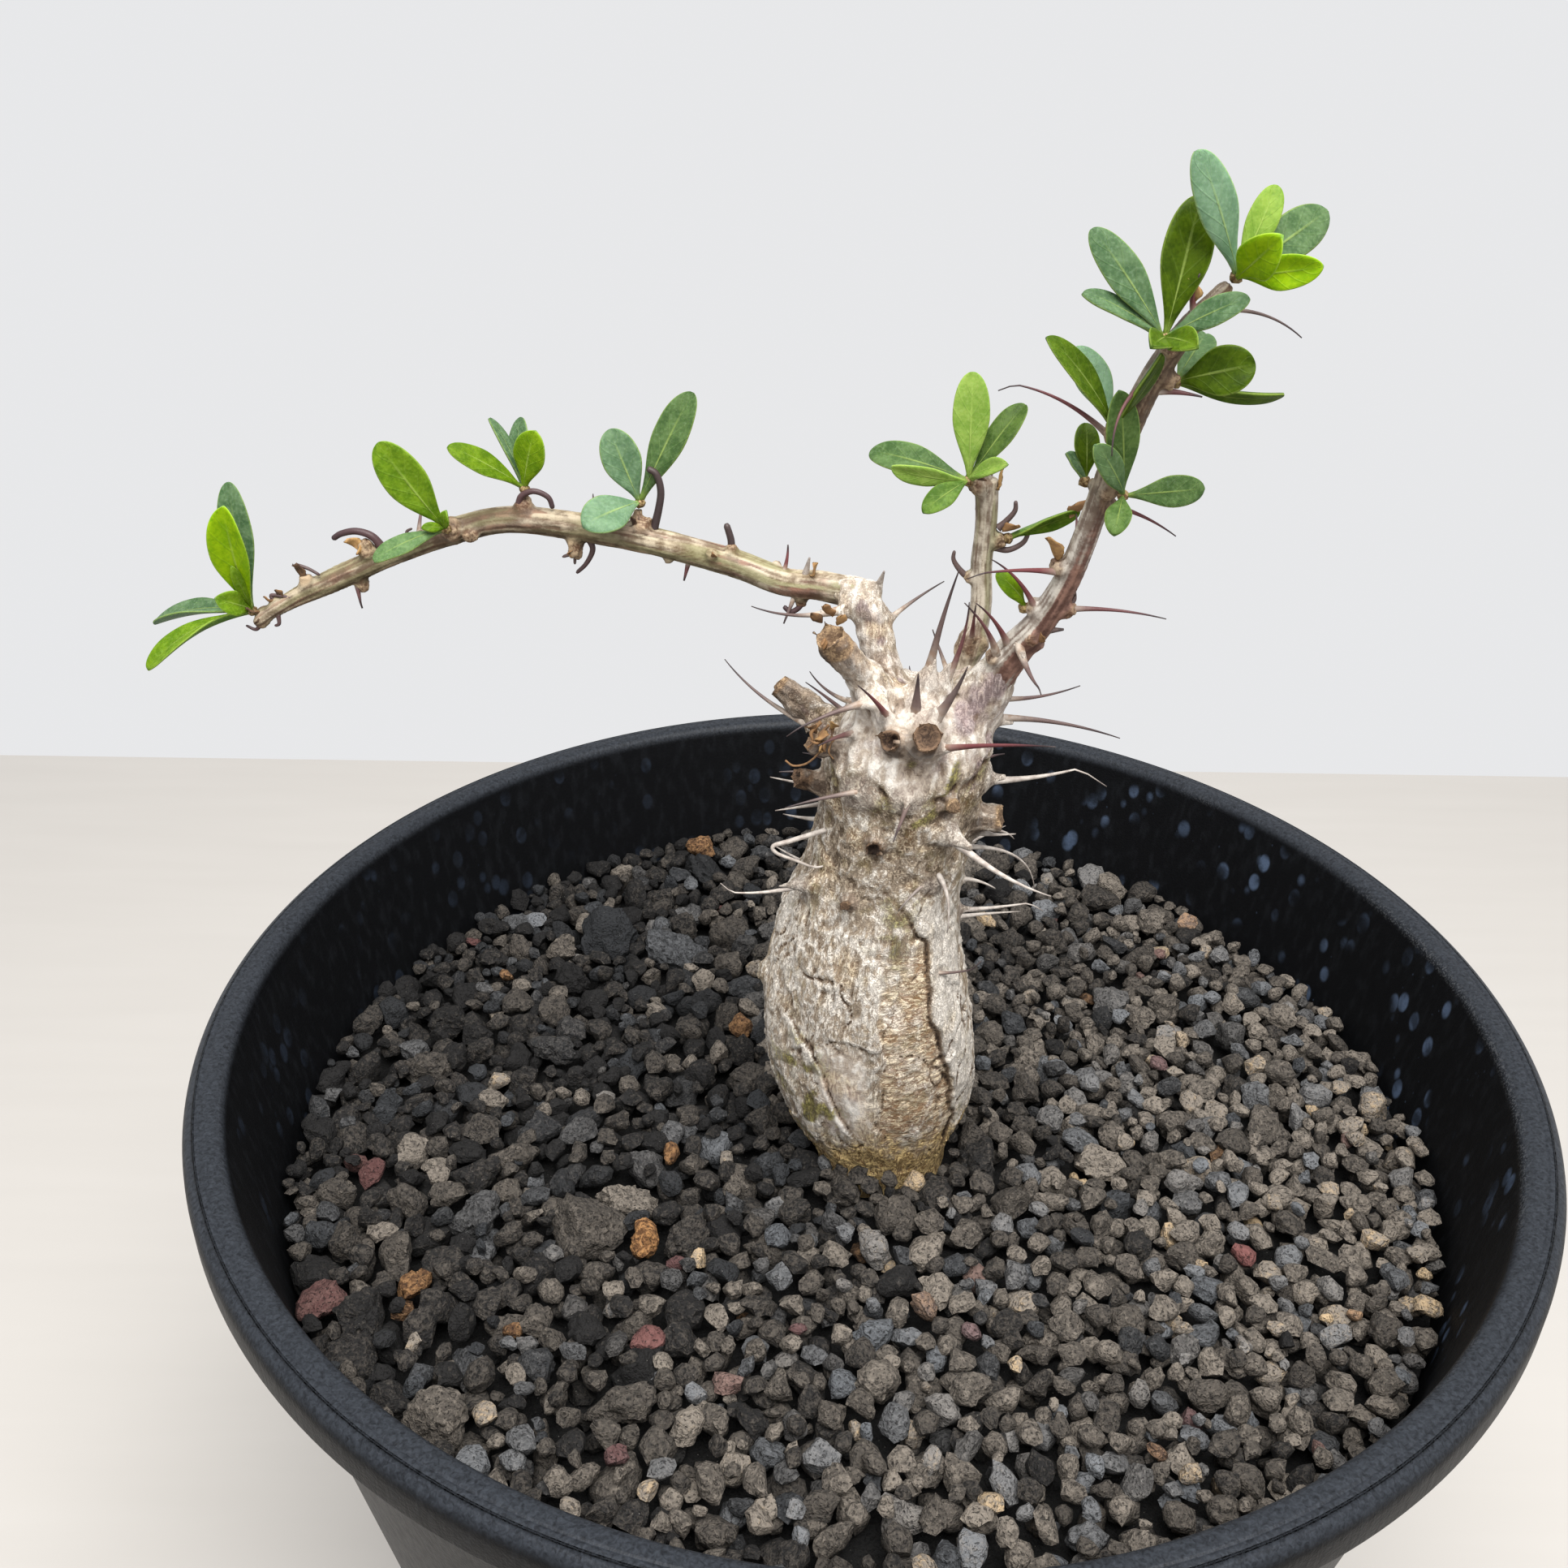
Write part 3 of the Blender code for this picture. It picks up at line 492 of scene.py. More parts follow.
def plastic_finish():
    finish = Finish("black_plastic", Specular_IOR_Level=0.11)
    height = finish.coordinate("Z")
    rightward = finish.coordinate("X").step(-0.03, 0.04) * 0.85 + 0.15
    inside = height.step((POT_HEIGHT - 1.0) * MM, (POT_HEIGHT - 3.5) * MM) * finish.tag("inside")
    rim = height.step((POT_HEIGHT - 1.6) * MM, (POT_HEIGHT - 0.4) * MM)
    groups = finish.noise(13, 2, (2, 0, 4)).step(0.44, 0.6)
    small = finish.cells((3.0, 3.0, 4.4)).step(0.36, 0.24)
    large = finish.cells((5.6, 5.6, 8.0), (3, 1, 2)).step(0.22, 0.14)
    speck = finish.cells((1.5, 1.5, 2.0), (7, 5, 2)).step(0.11, 0.05)
    uneven = finish.noise(2.2, 3).step(0.35, 0.65) * 0.7 + 0.3
    splash = small.most(large).most(speck * 0.4) * groups * inside * uneven * rightward
    worn = finish.noise((1.2, 1.2, 3.0), 3).step(0.45, 0.8)
    scuff = finish.noise(0.4, 4, distortion=0.8)
    # Pale specks along the rim's inner edge: dust, and a painted highlight where the edge catches the light.
    inner_edge = height.near((POT_HEIGHT - 0.9) * MM, 0.9 * MM) * finish.tag("inside")
    specks = finish.noise(0.25, 3, (3, 1, 7)).step(0.5, 0.6)
    dust = inner_edge * specks * finish.noise(25, 2, (6, 3, 1)).step(0.45, 0.6)
    base = finish.mix(PLASTIC, (0.0055, 0.0062, 0.0076), worn)
    # Painted reflection of the sky along the rim, mottled by fine scuffs.
    base = base.to(RIM_SKY_REFLECTION, rim * scuff.step(0.0, 1.0))
    base = base.to(SPLASH, splash)
    base = base.to(RIM_EDGE_DUST_AND_HIGHLIGHT, dust * rightward * 0.16)
    satin = finish.noise((0.7, 0.7, 1.6), 3) * 0.16 + inside * 0.22 + 0.36
    grain = finish.noise(0.33, 3)
    drag = finish.noise((0.5, 0.5, 4.0), 3, distortion=0.6)
    normal = finish.bump(grain + drag * 0.8, 0.045)
    return finish.into(Base_Color=base, Roughness=satin, Normal=normal)


pot_skin = turned(pot_section(), POT_SIDES)
radii = np.hypot(pot_skin.points[:, 0], pot_skin.points[:, 1])
heights = pot_skin.points[:, 2]
pot_skin.tags["inside"] = ((radii < wall_radius(heights, WALL / 2)) & (heights > FLOOR / 2)) * 1.0
pot = make_piece("moulded_pot", pot_skin, plastic_finish(), "pot_plastic", "pot")
cut(pot, drain_tools())
print(f"pot: {len(pot.data.polygons)} faces with its {DRAIN_HOLES} drainage holes cut")

# %% [markdown]
# ## The grit
# The pot is topped with lava grit: stones from 1 to 8 mm, rough, and heaped so that each one lies in the
# hollow between others. A rigid-body simulation could heap them, but it is slow and hard to repeat.
# Instead the stones are dropped one at a time on a map of heights. Each tries a few places, rests where it
# would lie lowest, and raises the map there, which packs them as tightly as shaking a real pot does. A stone
# that would stand above the grit's level isn't laid, and those that end up buried aren't kept.

# %% Drop the stones on a height map
GRIT_TOP = 103.6
STONES = 6300
MEAN_SIZE = 2.45
SIZE_SPREAD = 0.36
SIZE_LIMITS = (1.25, 7.6)
BIG_STONE = 3.6  # such stones lie mostly at the back and left of the pot
MAP_CELL = 0.3
TRIES = 9
SINK = 0.12  # how far a stone settles into those under it, in sizes
FLATNESS = 0.76  # a stone's height, in sizes
BURIED = 1.7  # a stone this far under the finished surface can't be seen
NO_ROOM = 1e3  # the map's height where the wall or the trunk stands
GRIT_SEED = 23
TRUNK_FOOT = (2.6, -4.0)
FOOT_RADIUS = 7.6
BED_TOP = 98.6
UPPER_STONES = 900  # about as many as the picture shows whole


def dropped(sizes, draw):
    """Places for stones of these sizes. Over each cell that a stone covers, its middle can't be lower than
    the ground there plus the depth of its underside, so the highest of these sums is where it rests.
    Of a few random places it takes the lowest, and its upper side then becomes the ground."""
    span = wall_radius(GRIT_TOP) - 0.4
    grid = np.arange(-span - 12, span + 12, MAP_CELL)
    x, y = np.meshgrid(grid, grid, indexing="ij")
    taken = (np.hypot(x, y) > span) | (np.hypot(x - TRUNK_FOOT[0], y - TRUNK_FOOT[1]) < FOOT_RADIUS)
    ground = np.where(taken, NO_ROOM, BED_TOP)
    places = np.zeros((len(sizes), 3))
    cells = np.zeros((len(sizes), 2), int)
    for k, size in enumerate(sizes):
        reach = int(size / 2 / MAP_CELL)
        step = np.arange(-reach, reach + 1) * MAP_CELL
        dome = 1 - (step[:, None]**2 + step[None]**2) / (size / 2)**2
        inside = dome > 0
        dome = FLATNESS / 2 * size * np.sqrt(np.clip(dome, 0, 1))
        lowest = 2 * NO_ROOM
        for _ in range(TRIES):
            turn, out = draw.uniform(0, TAU), (span - size * 0.45) * math.sqrt(draw.uniform())
            spot = np.array([math.cos(turn), math.sin(turn)]) * out
            if size > BIG_STONE and spot @ (0.75, -0.66) > draw.normal(0, 26):
                spot = -spot
            i, j = np.rint((spot - grid[0]) / MAP_CELL).astype(int)
            patch = ground[i - reach:i + reach + 1, j - reach:j + reach + 1]
            rest = (patch + dome)[inside].max() - SINK * size
            if rest < lowest:
                lowest, best = rest, (i, j)
        if lowest + 0.2 * size > GRIT_TOP:
            continue
        i, j = best
        patch = ground[i - reach:i + reach + 1, j - reach:j + reach + 1]
        np.maximum(patch, lowest + dome, out=patch, where=inside)
        places[k] = grid[i], grid[j], lowest
        cells[k] = best
    under = ground[cells[:, 0], cells[:, 1]] - places[:, 2] - FLATNESS / 2 * sizes
    return places, (under < BURIED) & (places[:, 2] > 0)


draw = np.random.default_rng(GRIT_SEED)
stone_sizes = np.clip(MEAN_SIZE * np.exp(SIZE_SPREAD * draw.standard_normal(STONES)), *SIZE_LIMITS)
stone_places, seen = dropped(stone_sizes, draw)
stone_sizes, stone_places = stone_sizes[seen], stone_places[seen]
top_stones = np.sort(stone_places[:, 2])[-UPPER_STONES:]
print(f"grit: {len(stone_sizes)} stones are seen, the upper ones' middles from {top_stones[0]:.1f} "
      f"to {top_stones[-1]:.1f} mm")

# %% [markdown]
# A lava stone is a broken lump: flat-ish faces with worn edges, and a crumbly surface. Here a
# stone is a ball whose radius in each direction is limited by a dozen random planes. Adding the planes'
# limits as high powers, and taking the root of the sum, rounds the edges between them. Noise then makes it
# lumpy. Every stone is worked out on its own, in one array for all stones with the same number of faces:
# the largest get the most, and the small ones, of which there are thousands, get 80 each.

# %% Shape the stones
PLANES = 11
PLANE_REACH = (0.6, 1.05)
EDGE_POWER = 14
STONE_TILT = 0.5


def ball(fineness):
    """Directions and triangles of a ball made of even triangles."""
    mesh = bpy.data.meshes.new("ball")
    grown = bmesh.new()
    bmesh.ops.create_icosphere(grown, subdivisions=fineness, radius=1)
    grown.to_mesh(mesh)
    directions = np.empty(3 * len(mesh.vertices))
    mesh.vertices.foreach_get("co", directions)
    corners = np.empty(3 * len(mesh.polygons), int)
    mesh.polygons.foreach_get("vertices", corners)
    return directions.reshape(-1, 3), corners.reshape(-1, 3)


def turns(count, draw):
    """Random rotations: a full turn about Z after a tilt about a level axis."""
    turn, way, tilt = (draw.uniform(0, TAU, count), draw.uniform(0, TAU, count),
                       draw.normal(0, STONE_TILT, count))
    axis = np.stack([np.cos(way), np.sin(way), np.zeros(count)], -1)
    return (np.array([Matrix.Rotation(a, 3, "Z") @ Matrix.Rotation(b, 3, Vector(c))
                      for a, b, c in zip(turn, tilt, axis)]))


def stones(fineness, sizes, places, draw, **tags):
    """Lumps: in direction d the radius is (sum of (d.n / reach)^14 over the planes' normals n)^(-1/14)."""
    d, tris = ball(fineness)
    count = len(sizes)
    normals = unit(draw.standard_normal((count, PLANES, 3)))
    reach = draw.uniform(*PLANE_REACH, (count, PLANES))
    facing = np.clip(np.einsum("vk,gpk->gvp", d, normals), 0, None)
    radius = (((facing / reach[:, None])**EDGE_POWER).sum(-1) + 1.25**-EDGE_POWER)**(-1 / EDGE_POWER)
    here = d[None] + 40 * draw.uniform(size=(count, 1, 3))
    radius *= 1 + 0.18 * noise(here * 1.7, 3) + 0.12 * noise(here * 3.9, 4)
    if fineness > 2:
        radius *= 1 + 0.06 * noise(here * 8.0, 5) - 0.13 * ramp(noise(here * 5.5, 6), 0.35, 0.7)
    if fineness > 3:
        radius *= 1 + 0.035 * noise(here * 15.0, 7) - 0.05 * ramp(noise(here * 12.0, 8), 0.3, 0.6)
    radius /= radius.mean(1, keepdims=True)
    axes = np.stack([np.ones(count), draw.uniform(0.74, 1, count), draw.uniform(0.62, 0.86, count)], -1)
    lumps = d[None] * radius[..., None] * axes[:, None] * (sizes[:, None, None] / 2)
    points = np.einsum("gvk,gjk->gvj", lumps, turns(count, draw)) + places[:, None]
    tris = tris[None] + (np.arange(count) * len(d))[:, None, None]
    spread = {name: np.repeat(value, len(d)) for name, value in tags.items()}
    return Surface(points.reshape(-1, 3), (), tris.reshape(-1, 3), **spread)


# %% [markdown]
# Most of the grit is charcoal or brown-grey. Its tone is painted paler towards the right and the front, where
# more light falls, and darker left of the trunk, where the trunk's shadow falls. A few stones are tan, and
# here and there one is rust-red or orange, where the lava held iron. Each stone gets its own tone as a tag,
# and the finish turns the tone into a colour. Pits and crumbs too small to model are a bump; the pits and the
# low places between stones are also darkened as painted shade, and pale specks are painted glints.

# %% Finish the grit
def grit_finish():
    finish = Finish("lava_grit", Specular_IOR_Level=0.2)
    crumbs = finish.noise(0.62, 4, distortion=0.6)
    grains = finish.noise(0.24, 3)
    dust = finish.noise(3.2, 2)
    pits = finish.noise(0.34, 3, (4, 1, 3), 0.5).step(0.42, 0.33)
    sparks = finish.cells(0.42, (1, 5, 2)).step(0.13, 0.06)
    tone = finish.tag("tone") + (crumbs - 0.5) * 0.9 + (grains - 0.5) * 0.55 + (dust - 0.5) * 0.25
    dark = finish.mix((0.012, 0.0115, 0.0115), (0.062, 0.054, 0.046), tone.step(0.02, 0.47))
    pale = finish.mix(dark, (0.185, 0.16, 0.134), tone.step(0.4, 0.92))
    tan = finish.mix(pale, (0.4, 0.295, 0.18), tone.step(0.92, 1.35))
    slate = finish.mix((0.026, 0.028, 0.031), (0.13, 0.141, 0.156), tone.step(0.05, 0.9))
    base = finish.mix(tan, slate, finish.tag("slate"))
    rust = finish.mix((0.13, 0.06, 0.024), (0.4, 0.205, 0.08), crumbs.step(0.35, 0.65))
    base = base.to(rust, finish.tag("rust"))
    blush = finish.mix((0.09, 0.035, 0.032), (0.2, 0.085, 0.08), crumbs)
    base = base.to(blush, finish.tag("blush"))
    # Painted shade: the pits are darkened as well as bumped.
    base = base.to((0.012, 0.011, 0.011), pits * 0.55)
    # Painted shade: the deeper a point lies under the grit's top, the darker it is, as in the crevices
    # between stones.
    sunk = finish.coordinate("Z").step((GRIT_TOP - 1.0) * MM, (GRIT_TOP - 4.5) * MM)
    base = base.to((0.004, 0.004, 0.004), sunk * 0.85)
    # Painted glints: pale specks stand for the fine highlights on the stones.
    base = base.to((0.42, 0.4, 0.36), sparks * grains.step(0.5, 0.7) * 0.5)
    height = crumbs * 1.1 + grains * 0.5 - pits * 0.6
    return finish.into(Base_Color=base, Roughness=dust * 0.2 + 0.76, Normal=finish.bump(height, 0.46))


# %% [markdown]
# The bed under the stones is a turned solid that fills the pot from its floor. It can be seen only through
# the drainage holes and between the stones, where the grit's painted shade for low places makes it black.

# %% Lay the grit
BED_GAP = 0.35
GIANTS = 40
LARGE = 330
# Painted light: the grit's tone rises towards the right and the front, where more light falls.
PALER_SIDE = (0.0045, -0.0012)  # how much the tone rises for each mm to the right and to the back
# Painted shadow: the grit is darker left of the trunk, where the trunk's shadow falls.
TRUNK_SHADOW, TRUNK_SHADOW_PLACE, TRUNK_SHADOW_REACH = 0.08, (-22.0, 2.0), 22.0  # the grit is darker left of the trunk
MARKED = (  # where the photo shows a stone of its own colour: x, y, then the change that it takes
    (-22.3, -25.5, "rust", 0.8), (-21.3, -11.4, "rust", 0.5), (-44, -33, "rust", 0.5),
    (-20.5, -36.3, "blush", 0.8), (43.8, -21, "blush", 1), (-14.5, 13.5, "rust", 0.5),
    (16.5, -37.4, "tone", 1.15), (28.5, -45, "rust", 0.35), (-3.4, -35.2, "blush", 0.5),
    (40, -31.5, "tone", 1), (-43, 0.5, "tone", 0.95), (33, -32, "tone", 0.95),
    (-33, -38, "rust", 0.4), (9.5, -31, "rust", 0.4), (-52, -13, "tone", 0.7),
)

count = len(stone_sizes)
order = np.argsort(-(stone_sizes + 1.5 * ramp(stone_places[:, 2], GRIT_TOP - 5.0, GRIT_TOP - 2)))
tone = draw.normal(0.365, 0.19, count) + stone_places[:, :2] @ PALER_SIDE
tone -= TRUNK_SHADOW * np.exp(-((stone_places[:, :2] - TRUNK_SHADOW_PLACE)**2).sum(-1) / TRUNK_SHADOW_REACH**2)
tone += 0.12 * noise(stone_places / 18, 2)
tone = np.where(draw.uniform(size=count) < 0.05, tone + draw.uniform(0.25, 0.65, count), tone)
stone_tags = {"tone": tone, "rust": (draw.uniform(size=count) < 0.006) * 0.5,
              "blush": (draw.uniform(size=count) < 0.004) * 0.5,
              "slate": (draw.uniform(size=count) < 0.24) * draw.uniform(0.3, 0.9, count)}
for x, y, tag, value in MARKED:
    away = np.hypot(stone_places[:, 0] - x, stone_places[:, 1] - y)
    away += 0.8 * (GRIT_TOP - stone_places[:, 2]) + 0.6 * np.abs(stone_sizes - 3.2)
    stone_tags[tag][np.argmin(away)] = value

grit = grit_finish()
floor_radius = wall_radius(FLOOR + 2) - BED_GAP - 1.2
bed = rounded([(0, FLOOR + BED_GAP, 0), (floor_radius, FLOOR + BED_GAP, 2.0),
               (wall_radius(BED_TOP) - BED_GAP, BED_TOP, 0.5), (0, BED_TOP, 0)], ROUND_STEPS)
make_piece("grit_bed", turned(bed, 96), grit, "grit", "soil")
small = order[GIANTS + LARGE:]
shares = (("grit_largest", 4, order[:GIANTS]), ("grit_large", 3, order[GIANTS:GIANTS + LARGE]),
          ("grit_small_left", 2, small[stone_places[small, 0] < 0]),
          ("grit_small_right", 2, small[stone_places[small, 0] >= 0]))
for name, fineness, chosen in shares:
    tags = {tag: values[chosen] for tag, values in stone_tags.items()}
    heap = stones(fineness, stone_sizes[chosen], stone_places[chosen], draw, **tags)
    make_piece(name, heap, grit, "grit", "soil", sharp=42)

# %% [markdown]
# ## The trunk
# The trunk is a bottle: a swollen lower half under peeling bark, a waist, and a knobbly top where branches
# were cut off and left short stumps. It could be sculpted by hand. Here it's put together from the same
# few forms as the CAD trunk, a lobed bottle, three limbs and a dozen stumps, each a tube or a stack of
# rings. A voxel remesh then wraps them all in one even skin that blends where they meet.

# %% Give the trunk's forms
GRIT_LEVEL = 103.5
TRUNK = (  # height over the grit, radius, centre x, centre y
    (-22, 3.4, 3.3, -3.3), (-9, 7.2, 3, -3.8), (-3, 7.6, 2.8, -4), (0, 8.4, 2.6, -4),
    (4, 10, 2.1, -4), (9, 11.2, 1.5, -4), (15, 11.6, 0.9, -4), (21, 11.3, 0.6, -4),
    (27, 10.4, 0.5, -4), (31.5, 9.5, 0.7, -4), (36, 8.8, 1.6, -4), (41, 8.5, 2.3, -4.1),
    (45, 8.6, 2.8, -4.2), (49, 8.9, 3.1, -4.3), (52.5, 8.4, 3.6, -4.4), (55.5, 7, 4.2, -4.6),
    (58, 4.4, 4.6, -4.8),
)
LOBES = ((2, 0.03, 0.6), (3, 0.028, 2.1), (5, 0.016, 0.4), (9, 0.012, 1.3))
LOBE_TWIST = 0.035
LIMBS = {
    "left_elbow": ((2.8, -4.6, 155, 3.3), (0.9, -3.8, 162, 2.2), (-0.7, -3, 166.8, 2.05),
                   (-2, -2.4, 169.7, 2.2), (-4.4, -1.6, 170.3, 1.7)),
    "right_shoulder": ((5.5, -4.6, 153.5, 4.4), (8.8, -5.2, 158.8, 3.5), (11.5, -6.3, 163.8, 2.4),
                       (13.2, -7.2, 167, 1.5)),
    "middle_collar": ((6.4, -3.6, 154.5, 3), (7.8, -2.4, 159, 2.3), (8.8, -1.7, 162.3, 1.6),
                      (9.2, -1.3, 164.6, 1)),
}
# A dead end's darkness is its dead wood's colour with painted shade in its hollow.
STUMPS = (  # start, end, first and last radius, how deep the dead end is hollowed, how dark it is
    ((1.6, -6.5, 159), (-4.8, -11, 169.2), 3, 1.7, 1.8, 0.4),
    ((-1, -3.6, 153.2), (-10.6, -1.1, 159.6), 2.7, 1.6, 0.5, 0.55),
    ((0.5, -5.6, 153.6), (-6.4, -9.1, 157.1), 2.3, 1.25, 0.5, 0.45),
    ((0.5, -5, 148.2), (-8.1, -6.9, 151.7), 2, 1.3, 1.2, 0.85),
    ((4, -8, 155.6), (4.9, -16.2, 161.7), 3.2, 1.6, 0.85, 0.8),
    ((4, -8, 156.2), (1.2, -13.9, 159.9), 2.3, 1.15, 1.9, 0.9),
    ((6.5, -4.2, 146.4), (13.9, -4.6, 146.6), 2.7, 1.55, 0.45, 0.4),
    ((1, -9, 146.2), (0.3, -13.8, 147.4), 1.7, 0.95, 1.3, 1.00),
    ((6.2, -9, 151.2), (8.2, -13, 152.2), 2.3, 1.1, 0.2, 0.35),
    ((4.8, 0, 150), (7.4, 6.2, 153.6), 2.4, 1.4, 0.5, 0.5),
    ((-1, -9, 139.4), (-2.4, -13.4, 140.2), 2.4, 0.8, 0.4, 0.6),
    ((-6, -4.4, 124), (-11.8, -5.4, 126.2), 2.6, 1.3, 0.1, 0.00),
)
TRUNK_SIDES = 64
VOXEL = 0.288
FILLET_ROUNDS = 26


def trunk_place(points):
    """Height over the grit and bearing round the trunk's leaning axis."""
    rows = np.array(TRUNK)
    height = points[:, 2] - GRIT_LEVEL
    x, y = (np.interp(height, rows[:, 0], rows[:, k]) for k in (2, 3))
    return height, np.arctan2(points[:, 1] - y, points[:, 0] - x)


def bottle():
    """Rings up the trunk. A ring's radius at bearing b is r * (1 + sum of share * sin(n*b + phase))."""
    rows = smooth_path(TRUNK, 5)
    bearing = np.arange(TRUNK_SIDES) * TAU / TRUNK_SIDES
    turn = bearing + LOBE_TWIST * rows[:, :1]
    radius = rows[:, 1:2] * (1 + sum(share * np.sin(n * turn + phase) for n, share, phase in LOBES))
    rings = np.stack([rows[:, 2:3] + radius * np.cos(bearing), rows[:, 3:4] + radius * np.sin(bearing),
                      GRIT_LEVEL + rows[:, :1] + 0 * bearing], -1)
    return skin(rings[0].mean(0), rings, rings[-1].mean(0))


def stump(start, end, wide, narrow, hollow, sides=28):
    """A cut-off branch: its ragged edge stands round a sunken middle."""
    start, end = np.array(start), np.array(end)
    length = np.linalg.norm(end - start)
    ahead = (end - start) / length
    along = np.array([0, 0.3, 0.6, 0.82, 0.93, 1, 1.01, 1, 1]) * length
    along[-2:] -= (0.7 * hollow, hollow)
    waist = narrow * np.array([0, 0, 1.0, 0.98, 1.03, 0.97, 0.82, 0.6, 0.3])
    waist[:2] = wide, wide * 0.6 + narrow * 0.4
    angle = np.arange(sides) * TAU / sides
    around = np.stack([np.cos(angle), np.sin(angle), end[0] + 0 * angle], -1)
    torn = np.array([0, 0, 0, 0, 0.3, 1, 1, 0.5, 0])[:, None] * rough(2.4 * around, 2)
    ridged = 1 + 0.1 * noise(around * (2.8, 2.8, 1))
    shape = tube(start + along[:, None] * ahead, waist[:, None] * ridged, sides, ahead=ahead)
    shape.points[1:-1] += (0.3 + 0.45 * hollow) * torn.ravel()[:, None] * ahead
    return shape


def fused(surfaces, voxel):
    """One closed skin of small even quads round all of the surfaces, made by a voxel remesh."""
    loose = add_object("loose", make_mesh("loose", join(surfaces)))
    wrap = loose.modifiers.new("wrap", "REMESH")
    wrap.mode = "VOXEL"
    wrap.voxel_size = voxel * MM
    mesh = loose.evaluated_get(bpy.context.evaluated_depsgraph_get()).to_mesh()
    points = np.empty(3 * len(mesh.vertices))
    mesh.vertices.foreach_get("co", points)
    corners = np.empty(4 * len(mesh.polygons), int)
    mesh.polygons.foreach_get("vertices", corners)
    bpy.data.objects.remove(loose)
    return Surface(points / MM, corners)


def neighbours_mean(surface, values):
    """The mean of a value over each point's neighbours, which are the ends of its faces' edges."""
    start, end = surface.quads.ravel(), np.roll(surface.quads, -1, axis=1).ravel()
    count = len(surface.points)
    columns = values.reshape(count, -1).T
    total = np.stack([np.bincount(start, column[end], count) for column in columns], -1)
    return (total / np.bincount(start, minlength=count)[:, None]).reshape(values.shape)


def smoothed(surface, rounds):
    """Each point moves half of the way to the middle of its neighbours, several times."""
    for _ in range(rounds):
        surface.points = 0.5 * surface.points + 0.5 * neighbours_mean(surface, surface.points)
    return surface


def filleted(surface, rounds):
    """Fills the hollows where forms meet: only points inside the middle of their neighbours move out."""
    for _ in range(rounds):
        out = normals(surface)
        inside = ((neighbours_mean(surface, surface.points) - surface.points) * out).sum(-1)
        surface.points += out * np.clip(inside, 0, None)[:, None]
    return surface


def normals(surface):
    """A direction out of each point: the sum of its faces' normals, each the product of the diagonals."""
    a, b, c, d = (surface.points[surface.quads[:, k]] for k in range(4))
    face = np.cross(c - a, d - b)
    corners, count = surface.quads.ravel(), len(surface.points)
    return unit(np.stack([np.bincount(corners, np.repeat(face[:, k], 4), count) for k in range(3)], -1))


def hollowness(surface, rounds):
    """How far each point lies inside the middle of its neighbourhood, which grows with the rounds."""
    middle = surface.points
    for _ in range(rounds):
        middle = neighbours_mean(surface, middle)
    return ((middle - surface.points) * normals(surface)).sum(-1)


# %% [markdown]
# ## Spines
# The spines are stiff needles, 2 to 15 mm long. Each stands on a pale cone that belongs to the bark and
# thins quickly to a dark maroon point. The living ones are straight or a little arched; old ones on the
# lower trunk are grey, wiry and bent at the end. One formula makes them all, and the ones that the picture
# shows are placed one by one.

# %% Give the spines' form and the trunk's own spines
SPINE_SIDES = 7
SPINE_STEPS = 18
SPINE_POINT = 0.05
ROOTED = 1.2  # how deep a spine starts under the bark


def spine_radius(t, length, radius):
    """A spine's radius at t of its length: a point, a thin cone, and a foot that fades over 1.9 mm."""
    return SPINE_POINT + radius * (0.32 * (1 - t**1.1) + 0.34 * np.exp(-t * length / 1.9))


def spine(root, reach, radius, red, bend=0, hook=0):
    """At t of its length a spine's axis is root + reach*t + bend*4t(1-t), and its last eighth also moves
    by the hook. A bend or hook of one number is upwards."""
    root, reach = np.array(root, float), np.array(reach, float)
    bend, hook = (np.array((0, 0, way) if np.isscalar(way) else way, float) for way in (bend, hook))
    t = np.linspace(0, 1, SPINE_STEPS)[:, None]**1.25
    path = root + reach * t + bend * 4 * t * (1 - t) + hook * np.clip((t - 0.87) / 0.13, 0, 1)**1.4
    start = path[0] - ROOTED * unit(path[1] - path[0])
    length = np.linalg.norm(reach)
    wide = spine_radius(t, length, radius)
    path, wide, t = np.vstack([start, path]), np.vstack([wide[0] * 1.15, wide]), np.vstack([t[0], t])
    return tube(path, wide[:, 0], SPINE_SIDES, along=t, red=red)


